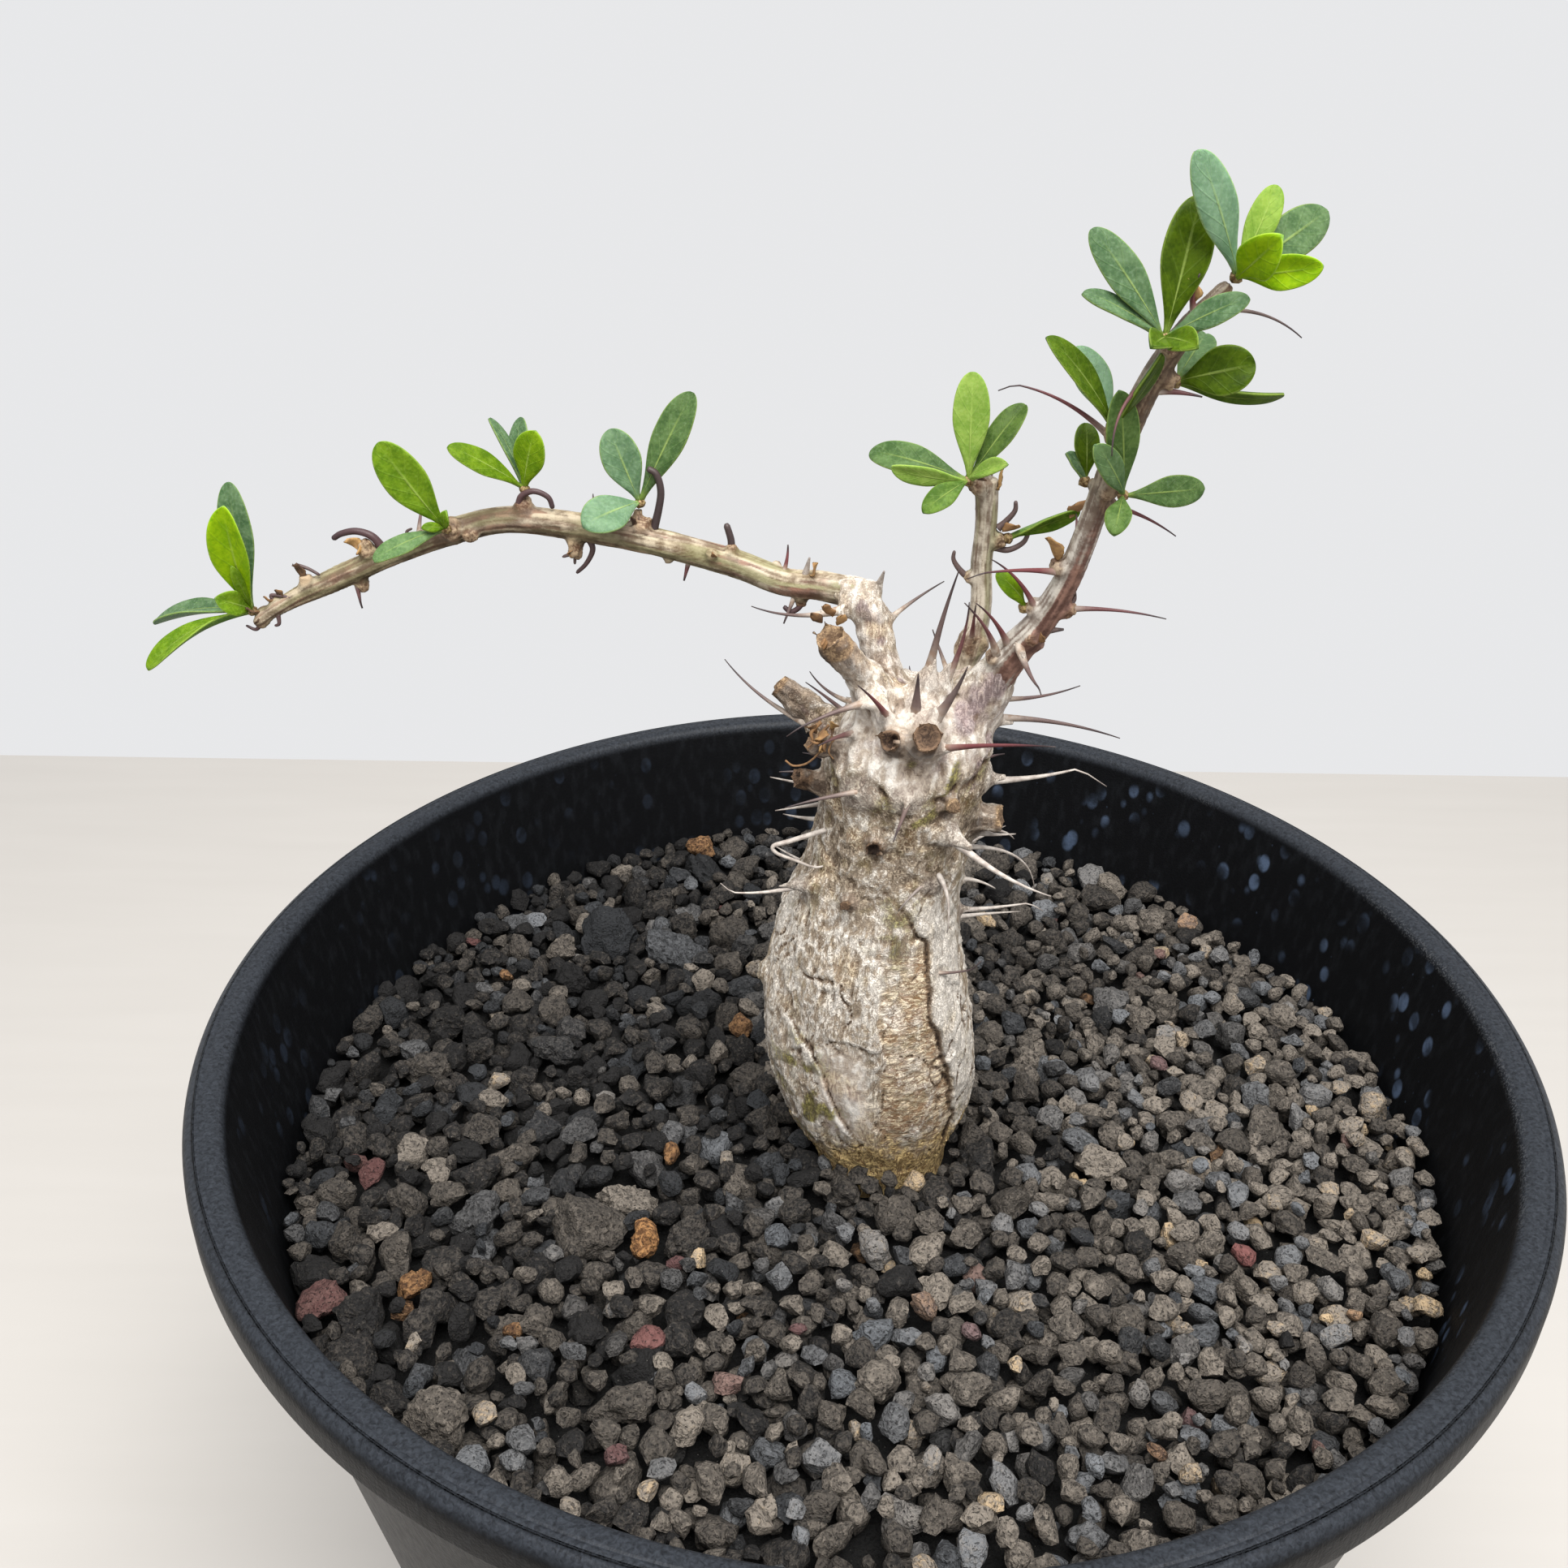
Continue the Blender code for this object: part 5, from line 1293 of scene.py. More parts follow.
    # The stumps' dead ends, going near black as painted shade in their hollows.
    shade = finish.tag("dark") + (cracked - 0.5) * 0.9
    dead = finish.mix((0.47, 0.325, 0.19), (0.145, 0.09, 0.056), shade.step(0.0, 0.5))
    dead = dead.to((0.024, 0.014, 0.01), shade.step(0.5, 1.0))
    base = base.to(dead, finish.tag("dead"))
    fine = thread * 0.6 + curl * 0.5 - marks * 0.25
    height = grain * 0.22 + fine * (1 - smooth * 0.6)
    return finish.into(Base_Color=base, Roughness=broad * 0.2 + 0.68, Normal=finish.bump(height, 0.3))


make_piece("barked_trunk", trunk_skin, bark_finish(), "bark", "trunk")

# %% [markdown]
# A living spine is pale and bark-like at its foot and turns maroon, then purple-black, towards its point.
# A dead one is grey all along. The spines stay one piece of their own, so that bark relief doesn't spoil
# their smooth taper, and their points are rooted inside the trunk.

# %% Grow the trunk's spines
def spine_finish():
    finish = Finish("spine", Specular_IOR_Level=0.4)
    streak = finish.noise(0.7, 3)
    red, along = finish.tag("red"), finish.tag("along")
    grey = finish.mix((0.3, 0.255, 0.225), (0.48, 0.435, 0.39), streak.step(0.3, 0.65))
    wine = finish.mix((0.105, 0.07, 0.064), (0.13, 0.034, 0.038), red.step(0.45, 1.0))
    maroon = finish.mix(wine, (0.024, 0.015, 0.018), along.step(0.55, 0.95))
    foot = finish.mix((0.25, 0.17, 0.12), (0.52, 0.45, 0.38), streak.step(0.3, 0.7))
    living = foot.to(maroon, (along + red * 0.25 + (streak - 0.5) * 0.3).step(0.18, 0.55))
    base = finish.mix(grey, living, red.step(0.06, 0.22))
    base = base.to((0.055, 0.035, 0.03), (along - 0.86) * 4.0)
    return finish.into(Base_Color=base, Roughness=streak * 0.2 + 0.42, Normal=finish.bump(streak, 0.05))


LOOP_RADIUS = 0.3
loop = smooth_path(LOOP_SPINE, 6)
thread = tube(loop, np.linspace(LOOP_RADIUS, 0.1, len(loop)), SPINE_SIDES, red=0.05,
              along=np.linspace(0, 0.8, len(loop))[:, None])
spikes = spine_finish()
grown = [spine(*row[:4], *row[5:]) for row in trunk_spines]
make_piece("trunk_spines", join([*grown, thread]), spikes, "bark")

# %% [markdown]
# ## The branches
# Three branches are left. The long one reaches out to the left, bare and tan with reddish streaks; a short
# one, cut off at its top, stands in the middle; the third leans to the right and carries most leaves. Each
# is a tube along its own curve with short shoots and swollen scars, remeshed into one skin like the trunk.
# What changes along a branch is worked out from the place on its axis that each point is nearest to.

# %% Give the branches' forms
BRANCHES = {
    "left": ((-2.4, -2.2, 170.1, 1.5), (-6, -1.1, 170.3, 1.5), (-10, 0, 170.2, 1.4),
             (-14.8, 1, 171.5, 1.4), (-22.2, 2, 173, 1.4), (-30.3, 2.8, 174.1, 1.45),
             (-38.3, 3, 174.6, 1.35), (-44.2, 2.8, 173.2, 1.35), (-50.5, 2, 170.8, 1.15),
             (-56.3, 1, 168.3, 1.2), (-60.6, -0.4, 166.5, 0.95), (-64, -1.7, 164.7, 0.7)),
    "middle": ((8.3, -2, 160.6, 1.4), (9.2, -1.2, 164.7, 1.25), (9.9, -0.4, 168.4, 1.1),
               (9.7, 0, 173, 1.05), (9.8, 0, 177.4, 1.08), (9.5, 0, 181.4, 1.2)),
    "right": ((10.2, -5.7, 161.3, 2.1), (12.9, -7, 166.6, 1.75), (15.1, -8, 170.2, 1.42),
              (16.8, -9.1, 174.4, 1.25), (18, -10.1, 179.2, 1.15), (18.9, -11, 183.8, 1.1),
              (19.9, -12, 188.6, 1.15), (21.5, -13.1, 194, 1.1), (23.6, -14, 198.5, 0.95),
              (26.3, -14.2, 202, 0.7)),
}
SHOOTS = {  # branch, how far along its points, the way the shoot stands, its length
    "left_tip": ("left", 10.8, (-0.9, 0.2, 0), 0.3), "left_outer": ("left", 7, (0, -0.9, 0.4), 0.3),
    "left_middle": ("left", 5.8, (0.1, 0, 1), 1), "left_inner": ("left", 4.4, (0.2, 0, 1), 1.3),
    "middle_top": ("middle", 4.8, (-0.7, -0.6, 0.4), 0.6),
    "middle_side": ("middle", 3.6, (1, -0.1, 0), 0.3), "right_low": ("right", 2.35, (-1, 0.1, 0), 0.1),
    "right_first": ("right", 5.2, (0.6, -0.8, -0.2), 0.3),
    "right_second": ("right", 6.3, (-0.7, -0.7, 0.1), 0.3),
    "right_rear": ("right", 5.1, (-0.6, 0.8, 0), 0.3),
    "right_third": ("right", 7.8, (-0.6, -0.8, 0.2), 0.6),
    "right_back": ("right", 7.1, (0.9, 0.4, -0.2), 0.3),
    "right_tip": ("right", 8.8, (0.6, -0.1, 0.8), 0.3),
}
BUD_GAP = 0.9  # from a shoot's end to the middle of its bud
KNOBS = {  # scars and swellings: how far along, the way they stand, how far out, how wide
    "left": (
        (9.7, (0.1, -0.2, 1), 1, 0.75), (8.35, (-0.3, -0.2, 1), 1.4, 0.85), (8.65, (0.2, 0, -1), 1.2, 0.7),
        (7, (0.1, -0.8, 0.5), 1, 1.1), (6.7, (0.3, -0.9, -0.3), 0.7, 0.9), (5.15, (0, -0.3, -1), 1.8, 0.8),
        (5.8, (0.1, 0, 1), 0.9, 1), (4.3, (0.1, -0.2, 1), 0.9, 1), (3.35, (0, -0.9, 0.5), 0.4, 0.75),
        (3.1, (0.1, -0.2, 1), 0.6, 0.7), (3.95, (0, -0.2, -1), 0.5, 0.55), (1.55, (0, -0.3, -1), 0.8, 0.7),
        (10.9, (-0.5, -0.3, -0.7), 0.8, 0.7), (10.6, (0.1, 0.2, 1), 0.6, 0.6),
        (2.2, (0, 0.8, 0.4), 0.6, 0.7), (7.6, (0, 0.9, 0.3), 0.6, 0.7), (4.9, (0, 1, 0.2), 0.6, 0.7)),
    "middle": (
        (3.5, (1, -0.2, 0.1), 1.1, 0.75), (2.6, (-1, -0.2, 0.4), 0.9, 0.6),
        (1.1, (0.3, -0.8, 0), 0.4, 1.3), (4.8, (-0.8, -0.6, 0.3), 0.8, 0.9),
        (0.9, (-0.5, -0.7, 0), 0.4, 1.2), (4.2, (0.1, 1, 0), 0.7, 0.7)),
    "right": (
        (3.35, (-1, -0.3, 0.3), 1, 0.9), (2.4, (1, -0.2, 0.1), 1, 0.9), (2.2, (-0.9, 0, 0.6), 0.8, 0.9),
        (1.2, (0.9, -0.3, 0.3), 0.7, 0.9), (1.5, (0.2, -1, 0.3), 0.7, 0.8),
        (4.8, (1, -0.2, -0.2), 0.7, 0.7), (5.1, (0.2, -1, 0), 0.5, 0.8),
        (6.1, (-0.9, -0.5, 0.2), 0.7, 0.8), (7.2, (0.8, -0.2, -0.4), 0.8, 0.8),
        (7.7, (-0.5, -0.9, 0), 0.6, 0.8), (8.5, (0.5, -0.2, -0.8), 0.5, 0.6),
        (0.8, (-0.8, -0.6, 0.4), 0.6, 1), (3.5, (0, 1, 0.2), 0.8, 0.8), (5.6, (0.1, 1, 0), 0.7, 0.7)),
}
BRANCH_SPINES = {  # how far along, reach, radius, how red, bend, hook
    "left": (
        (2, (0.3, 0.2, 2.6), 0.32, 0.9, (0.1, 0, 0)),
        (8.7, (0.3, -0.4, -2.6), 0.5, 0.7, 0, (0.1, 0, -0.3)), (3.65, (-0.5, -0.2, -2), 0.4, 0.8),
        (7.6, (-0.5, 4, 2.2), 0.4, 0.6, 0.4), (4.9, (-1, 4.8, 1.4), 0.4, 0.6, 0.4),
        (2.6, (0.6, 4.4, -1), 0.4, 0.6, 0.4), (1.5, (0.4, -0.6, 2), 0.55, 0.1),
        (1.6, (-1, -1.2, -2.6), 0.4, 0.3)),
    "middle": ((1, (-0.2, -4.8, 5.6), 0.5, 0.9, 0.2), (4.3, (0.6, 4.6, 2), 0.4, 0.6, 0.3)),
    "right": (
        (1, (-3.6, -4.4, 5.8), 0.6, 0.95, (0.2, 0, 0.3)), (2.1, (-4.8, -2.4, 5.8), 0.55, 1, (0.3, 0, 0.5)),
        (3.3, (-8.4, -5, 1.3), 0.6, 1, 0.3, (-0.4, 0, -0.4)), (2.4, (9.6, -0.4, -0.4), 0.55, 0.8, 0.4),
        (4.85, (6.4, 0.4, -2.8), 0.45, 0.9, 0.4),
        (6, (-9.6, 1, 4.2), 0.5, 0.95, (0.2, 0, 0.9), (-0.3, 0, -0.7)),
        (8.5, (7.2, -0.4, -1.8), 0.34, 0.5, (0.2, 0, 0.8)), (3.6, (0.4, 6.2, 1.6), 0.5, 0.8, 0.4),
        (4.4, (1.2, 6.6, 2.4), 0.5, 0.8, 0.4), (7.4, (-0.4, 6, -2.8), 0.45, 0.8, 0.4),
        (7.3, (-3.4, -4.4, -5.6), 0.4, 0.8, (-1, -0.4, 0.8)), (1.7, (1.6, -0.8, 0.5), 0.6, 0.2),
        (6.9, (3.6, -0.4, -0.3), 0.5, 0.8, 0.1), (8.2, (-0.2, -1, 3.2), 0.45, 0.9, (-0.3, 0, 0))),
}
BRANCH_VOXEL = 0.17
BRANCH_SMOOTH = 2
STREAKS = {  # how red, green, grey and, further along, brown each branch is
    "left": (0.55, 0.95, 0.15, 0.45), "middle": (0.2, 0.85, 0.4, 0.0), "right": (1.0, 0.12, 0.8, 0.85),
}
BROWNED = (20, 26)  # millimetres along the right branch between which it turns brown


def axis_at(name, at):
    """The place on a branch's axis, and the branch's radius there, at a count along its points."""
    rows = smooth_path(BRANCHES[name], 10)
    row = [np.interp(at * 10, np.arange(len(rows)), column) for column in rows.T]
    return np.array(row[:3]), row[3]


def knob(name, at, lean, out, wide):
    """A swelling that stands out of a branch and ends in a worn top."""
    axis, radius = axis_at(name, at)
    lean = unit(np.array(lean, float))
    rows = np.array([[-0.2, 1.25], [0.45, 1.2], [0.8, 0.95], [1.0, 0.72]])
    ends = axis + np.outer(rows[:, 0] * (radius + out), lean)
    return tube(ends, rows[:, 1] * wide, 14, ahead=lean)


def shoot_bud(shoot):
    """The middle of the bud at the end of a short shoot, where its leaves spring from."""
    name, at, lean, length = SHOOTS[shoot]
    axis, radius = axis_at(name, at)
    return axis + unit(np.array(lean)) * (radius + length + BUD_GAP)


def branch_surface(name):
    """One branch in a single skin, with its relief and the tags of its streaks."""
    rows = smooth_path(BRANCHES[name], 8)
    solids = [tube(rows[:, :3], rows[:, 3], 24)]
    solids += [knob(name, *one) for one in KNOBS[name]]
    for branch, at, lean, length in SHOOTS.values():
        if branch == name:
            solids.append(knob(name, at, lean, length + 0.2, 0.62))
    twig = smoothed(fused(solids, BRANCH_VOXEL), BRANCH_SMOOTH)
    ahead, side, up = square_to(rows[:, :3])
    run = np.cumsum(np.linalg.norm(np.diff(rows[:, :3], axis=0, prepend=rows[:1, :3]), axis=1))
    nearest = np.concatenate([np.argmin(np.linalg.norm(part[:, None] - rows[None, :, :3], axis=-1), axis=1)
                              for part in np.array_split(twig.points, 40)])
    aside = twig.points - rows[nearest, :3]
    along = run[nearest] + (aside * ahead[nearest]).sum(-1)
    turn = np.arctan2((aside * up[nearest]).sum(-1), (aside * side[nearest]).sum(-1))
    around = np.stack([np.cos(turn), np.sin(turn), along / 6.0], -1)
    streak = rough(around * (1.7, 1.7, 1.0) + 9, 3, 110)
    fibre = rough(around * (7.0, 7.0, 1.3), 2, 113)
    lump = np.clip((aside**2).sum(-1)**0.5 - rows[nearest, 3] - 0.15, 0, 1)
    wrinkle = near(noise(np.stack([around[:, 0] * 1.2, around[:, 1] * 1.2, along / 0.55], -1), 115), 0, 0.2)
    scar = ramp(lump, 0.0, 0.5)
    crumb = rough(twig.points / 0.55, 2, 117)
    bark = 0.07 * streak + 0.06 * fibre - 0.05 * wrinkle * scar + 0.16 * crumb * scar
    twig.points += normals(twig) * bark[:, None]
    red, green, grey, brown = STREAKS[name]
    side_on = ramp(aside @ unit(np.array([0.85, -0.35, -0.3])) / rows[nearest, 3], -0.15, 0.25)
    stripe = side_on if name == "right" else ramp(streak, 0.12, 0.34)
    # Painted shade under each branch: its underside is made a little redder, and the left branch's browner.
    under = ramp(-aside[:, 2] / rows[nearest, 3], 0.1, 0.85)
    brown = brown * ramp(along + 2 * streak, *BROWNED)
    blotched = stripe * (0.75 + 0.7 * noise(around * (2.5, 2.5, 1.6), 118)) + 0.25 * under
    twig.tags = dict(
        red=red * ramp(along, 0, 5) * np.clip(blotched, 0, 1),
        green=green * ramp(noise(around * (2.0, 2.0, 1.1), 119), 0.0, 0.4),
        grey=grey + 0.25 * streak, brown=np.clip(brown + 0.6 * under * (name == "left"), 0, 1),
        fibre=0.5 + 0.8 * fibre, scar=scar,
        # crease: painted shade in the branch's hollows and in the wrinkles of its scars
        crease=np.clip(ramp(hollowness(twig, 4), 0.0, 0.09) + 0.5 * wrinkle * scar, 0, 1))
    return twig


def twig_finish():
    finish = Finish("twig_bark", Specular_IOR_Level=0.35)
    grain = finish.noise(0.22, 3)
    patch = finish.noise(1.3, 4)
    tone = patch.step(0.3, 0.7) * 0.45 + finish.tag("fibre") * 0.3 + grain * 0.3
    tan = finish.mix((0.131, 0.089, 0.046), (0.443, 0.369, 0.254), tone.step(0.2, 0.85))
    grey = finish.mix((0.205, 0.168, 0.143), (0.558, 0.525, 0.476), tone.step(0.22, 0.8))
    base = finish.mix(tan, grey, finish.tag("grey"))
    base = base.to((0.168, 0.164, 0.067), finish.tag("green") * (patch + 0.3) * 0.85)
    wine = finish.mix((0.07, 0.025, 0.018), (0.197, 0.086, 0.057), tone.step(0.25, 0.85))
    base = base.to(wine, (finish.tag("red") * 1.1 + (patch - 0.5) * 0.5).step(0.22, 0.7) * 0.9)
    # brown: the right branch's own browning further along, and painted shade under the left branch
    brown = finish.mix((0.057, 0.039, 0.021), (0.197, 0.148, 0.086), tone.step(0.25, 0.85))
    base = base.to(brown, finish.tag("brown") * 0.85)
    ragged = patch + (grain - 0.5) * 0.8
    scar = finish.mix((0.107, 0.051, 0.026), (0.344, 0.246, 0.152), ragged.step(0.34, 0.62))
    base = base.to(scar, finish.tag("scar") * 0.8)
    lines = finish.tag("fibre").step(0.3, 0.12)
    base = base.to((0.107, 0.053, 0.03), lines * 0.3)
    # Painted shade in the branch's hollows.
    base = base.to((0.049, 0.025, 0.015), finish.tag("crease").step(0.15, 0.9) * 0.85)
    height = grain * 0.5 + patch * 0.5
    return finish.into(Base_Color=base, Roughness=patch * 0.2 + 0.55, Normal=finish.bump(height, 0.09))


# %% Grow the branches
twig_bark = twig_finish()
for name in BRANCHES:
    make_piece(f"bare_branch_{name}", branch_surface(name), twig_bark, "twig", f"branch_{name}")

# %% [markdown]
# Spent spines stay on a branch as dark hooks, curls and stubs. A leaf stalk hardens into such a spine and
# then bends as it dries, so none of them is straight and their ends are blunt. Each is a short tube along
# a few points; where the picture shows one, it's given by those points.

# %% Add the branches' spines, hooks and dry scraps
HOOKS = {  # how far along, points from the branch's axis, first and last radius, how red
    "left": (
        (8.15, ((0, -0.2, 0.9), (-1, -0.3, 2.3), (-2.6, -0.3, 2.8), (-4.2, -0.3, 2.5),
         (-5.2, -0.3, 1.9)), 0.45, 0.3, 0.75),
        (5.72, ((-1, -0.4, 1.4), (-0.5, -0.6, 2.7), (0.8, -0.7, 3.3), (2.2, -0.6, 2.7),
         (2.6, -0.5, 1.5)), 0.36, 0.26, 0.7),
        (4.15, ((0, 0, 1), (0.6, 0, 3.2), (0.9, 0, 5.2), (0.5, 0, 6.9),
         (-0.4, 0, 7.5)), 0.42, 0.34, 1),
        (3.1, ((0, 0, 0.9), (0.1, 0, 2.2), (-0.4, 0, 4)), 0.42, 0.34, 1),
        (5.05, ((0.4, 0, -1), (0.9, -0.1, -2.3), (0.2, -0.2, -3.8),
         (-0.9, -0.2, -4.9)), 0.36, 0.2, 0.6),
        (5.15, ((0, -0.4, -1.2), (-0.2, -0.5, -2.6), (-1.4, -0.5, -3.2)), 0.36, 0.15, 0.45),
        (5.12, ((0, -0.4, -1.8), (-0.3, -0.5, -3), (-0.4, -0.5, -3.9)), 0.26, 0.14, 0.3),
        (1.5, ((-0.4, -0.4, -0.9), (-0.2, -0.6, -2), (-1.1, -0.7, -2.7),
         (-1.9, -0.6, -2.2)), 0.34, 0.24, 0.7),
        (9.72, ((0.2, -0.2, 0.9), (0.1, -0.3, 2.1), (-0.6, -0.3, 3), (0.6, -0.3, 2.7),
         (1.7, -0.2, 2)), 0.24, 0.16, 0.55),
        (7.75, ((0.1, 0, 0.8), (0, 0, 1.7), (0.6, 0, 2.1)), 0.22, 0.12, 0.3),
        (10.9, ((-0.3, -0.5, -0.6), (-1, -0.6, -1.4), (-2, -0.6, -1)), 0.26, 0.13, 0.7),
        (10.5, ((0, -0.4, -0.6), (0, -0.5, -1.6), (-0.5, -0.5, -1.9)), 0.26, 0.14, 0.6),
        (10.6, ((0.2, 0, 0.7), (-0.2, 0, 1.5), (0.9, 0, 1.5), (2, 0, 1.3)), 0.24, 0.15, 0.6)),
    "middle": (
        (2.6, ((-1, -0.1, 0.2), (-2, -0.2, 0.9), (-2.9, -0.2, 2.1),
         (-2.9, -0.2, 3.1)), 0.4, 0.16, 0.35),
        (3.35, ((1, -0.1, 0.1), (2.4, -0.2, -0.1), (3.8, -0.2, 0.7), (4.3, -0.2, 1.9)), 0.34, 0.22, 0.3),
        (3.6, ((1.2, 0, 0.9), (1.9, 0, 1.6), (2.7, 0, 2.7), (2.7, 0, 3.7)), 0.36, 0.2, 0.5)),
    "right": ((2.45, ((1, -0.3, 0.2), (1.9, -0.4, 0.8), (1.9, -0.4, 1.7)), 0.3, 0.2, 0.5),),
}
SCRAPS = (  # branch, how far along, place from the axis, size, the way it points
    ("left", 9.75, (0.3, -0.5, 1.9), 1.3, (-0.6, -0.2, 0.8)),
    ("left", 8.4, (-0.6, -0.6, 1.7), 1.5, (-0.9, -0.2, 0.4)),
    ("left", 8.3, (-0.3, -0.8, 1.3), 1.3, (-0.7, -0.4, -0.2)),
    ("left", 5.15, (0, -0.8, -2.2), 1, (-0.5, -0.6, -0.5)),
    ("left", 3.35, (0, -1.5, 0.6), 0.8, (0.3, -0.7, 0.4)),
    ("left", 4.3, (-0.6, -0.6, 1.6), 0.9, (-0.4, -0.4, 0.9)),
    ("middle", 3.62, (1.6, -0.4, 0.7), 1.6, (0.9, -0.2, 0.2)),
    ("right", 3.4, (-1.5, -0.5, 0.7), 2.2, (-0.5, -0.2, 0.9)),
    ("right", 2.35, (1.5, -0.4, 0.8), 1, (0.6, -0.2, 0.7)),
    ("right", 1.35, (1, -1.8, 0.7), 1.1, (0.5, -0.7, 0.4)),
    ("right", 8.35, (-0.9, -0.5, 0.9), 1.7, (-0.4, 0, 1)),
    ("right", 7.5, (1, 0.1, 0.8), 2, (0.6, 0.3, 0.8)),
    ("left", 10.95, (-0.2, -0.5, 0.3), 1.2, (-0.8, -0.3, 0.4)),
    ("left", 10.8, (-0.2, -0.5, -0.5), 1.1, (-0.6, -0.5, -0.5)),
    ("left", 10.6, (0.1, -0.3, 0.7), 1, (-0.9, -0.1, 0.4)),
    ("left", 10.3, (0.1, -0.4, 0.8), 0.9, (-0.7, -0.2, 0.6)),
    ("middle", 4.95, (0.9, -0.5, -0.6), 1.9, (0.15, 0, 1)),
    ("middle", 4.95, (-0.6, -0.8, -0.4), 1.3, (-0.5, -0.2, 0.9)),
    ("left", 1.4, (0.4, -0.6, 1.2), 1.3, (0.2, -0.3, 1)),
    ("middle", 3.6, (7.6, -2.3, 3.2), 2, (0.9, -0.2, 0.4)),
    ("left", 0, (-2.6, -7.4, -11.6), 1.5, (-0.4, -0.5, -0.7)),
    ("left", 0, (-3.4, -7.3, -11.9), 1.3, (-0.6, -0.4, 0.4)),
    ("left", 0, (-2, -7.6, -11.3), 1.2, (0.2, -0.6, 0.6)),
    ("left", 0, (-2.9, -7.8, -12.6), 1.3, (0.1, -0.4, -0.8)),
    ("left", 0, (-2.2, -8, 0.6), 1.5, (-0.4, -0.4, 0.8)),
    ("left", 0, (-3.2, -8.3, 0.2), 1.3, (-0.7, -0.5, 0.5)),
    ("left", 0, (-1.6, -8.6, 0.2), 1.2, (0.3, -0.6, 0.7)),
    ("left", 0, (-2.6, -9.6, -1), 1.3, (-0.3, -0.8, -0.3)),
)

SHREDS = (  # the dried leaf that hangs from a stump on the left: points, then its first and last radius
    (((-4.6, -9, 158.8), (-5.5, -9.7, 157.9), (-5.2, -10.1, 156.9), (-5.8, -10.3, 155.9),
     (-6.8, -10.3, 155), (-8, -10.2, 154.7), (-8.8, -10.1, 155.2)), 0.42, 0.22),
    (((-4.2, -9.4, 159), (-4.3, -10.2, 158.1), (-5, -10.6, 157.3), (-4.8, -10.7, 156.6)), 0.55, 0.28),
    (((-5.4, -9.2, 159.2), (-6.3, -9.9, 158.4), (-6.1, -10.3, 157.5), (-6.6, -10.4, 156.9)), 0.45, 0.2),
    (((-4, -9.6, 157.8), (-4.5, -10.5, 156.7), (-4, -10.7, 155.9)), 0.34, 0.15),
    (((-5, -9.2, 158.2), (-5.6, -10.6, 157.6), (-6.4, -10.8, 157.9)), 0.4, 0.18),
)


def shred(points, start, end, seed):
    """A shrivelled strand: a tube whose radius wavers as it goes."""
    path = smooth_path(points, 7)
    t = np.linspace(0, 1, len(path))
    waver = 1 + 0.45 * noise(np.stack([t * 4, 0 * t, 0 * t + seed], -1), 140)
    return tube(path, 0.42 * (start + (end - start) * t) * waver, 8, shade=0.22 + 0.34 * waver[:, None])


def hook(name, at, points, start, end, red):
    """A spent spine along a smooth line through its points, ending blunt."""
    axis, _ = axis_at(name, at)
    path = smooth_path(np.array(points, float) + axis, 7)
    t = np.linspace(0, 1, len(path))
    wide = (start + (end - start) * t + 0.25 * start * np.exp(-t / 0.08)) * np.where(t == 1, 0.6, 1)
    return tube(path, wide, SPINE_SIDES, along=0.3 + 0.62 * red + 0.1 * t[:, None], red=red)


def scrap(place, size, toward, seed):
    """A curled flake of dried leaf: a flat ring that bends as it goes."""
    toward = unit(np.array(toward, float))
    t = np.linspace(0, 1, 8)
    curl = np.array([0.0, -0.25, 0.35]) * size
    path = place + toward * size * t[:, None] + curl * (t**2)[:, None]
    _, side, up = square_to(path)
    angle = np.arange(10) * TAU / 10
    place_on = np.stack([t[:, None] * 3 + 0 * angle, 1.6 * np.cos(angle) + 0 * t[:, None],
                         0 * t[:, None] * angle + seed], -1)
    half = size * 0.4 * np.sin(np.pi * (0.1 + 0.78 * t))[:, None] * (1 + 0.6 * noise(place_on, 141))
    cupped = half * 0.75 * np.cos(angle)**2 + 0.3 * size * noise(place_on * 0.6, 142)
    lens = (half[..., None] * np.cos(angle)[None, :, None] * side[:, None]
            + (cupped + 0.06 * np.sin(angle))[..., None] * up[:, None])
    return skin(path[0], path[:, None] + lens, path[-1], shade=number_at(np.array([seed, 3, 7]), 5))


def scrap_finish():
    finish = Finish("dry_leaf", Specular_IOR_Level=0.3)
    grain = finish.noise(0.5, 3)
    shade = finish.tag("shade") + (grain - 0.5) * 0.7
    base = finish.mix((0.05, 0.028, 0.018), (0.24, 0.13, 0.056), shade.step(0.15, 0.8))
    base = base.to((0.42, 0.26, 0.1), shade.step(0.72, 1.15))
    return finish.into(Base_Color=base, Roughness=grain * 0.2 + 0.6, Normal=finish.bump(grain, 0.06))


grown = []
for name, rows in BRANCH_SPINES.items():
    for at, reach, *form in rows:
        axis, thick = axis_at(name, at)
        grown.append(spine(axis + unit(np.array(reach)) * thick * 0.85, reach, *form))
grown += [hook(name, *one) for name, rows in HOOKS.items() for one in rows]
make_piece("branch_spines", join(grown), spikes, "twig")
flakes = [scrap(axis_at(name, at)[0] + place, size, toward, k)
          for k, (name, at, place, size, toward) in enumerate(SCRAPS)]
flakes += [shred(*one, k) for k, one in enumerate(SHREDS)]
make_piece("dry_scraps", join(flakes), scrap_finish(), "twig")

# %% [markdown]
# ## The leaves
# The leaves are small and fleshy, widest past their middle, round at the tip and folded along a pale midrib.
# They come in tufts, each tuft from one bud. A leaf could be a picture on a card, but it's seen from
# close by and edge-on, so each one is a closed blade here: flat lens-shaped rings carried along a curve.
# Old leaves have a blue-grey bloom, young ones are yellow-green, and all have a thin pale edge.

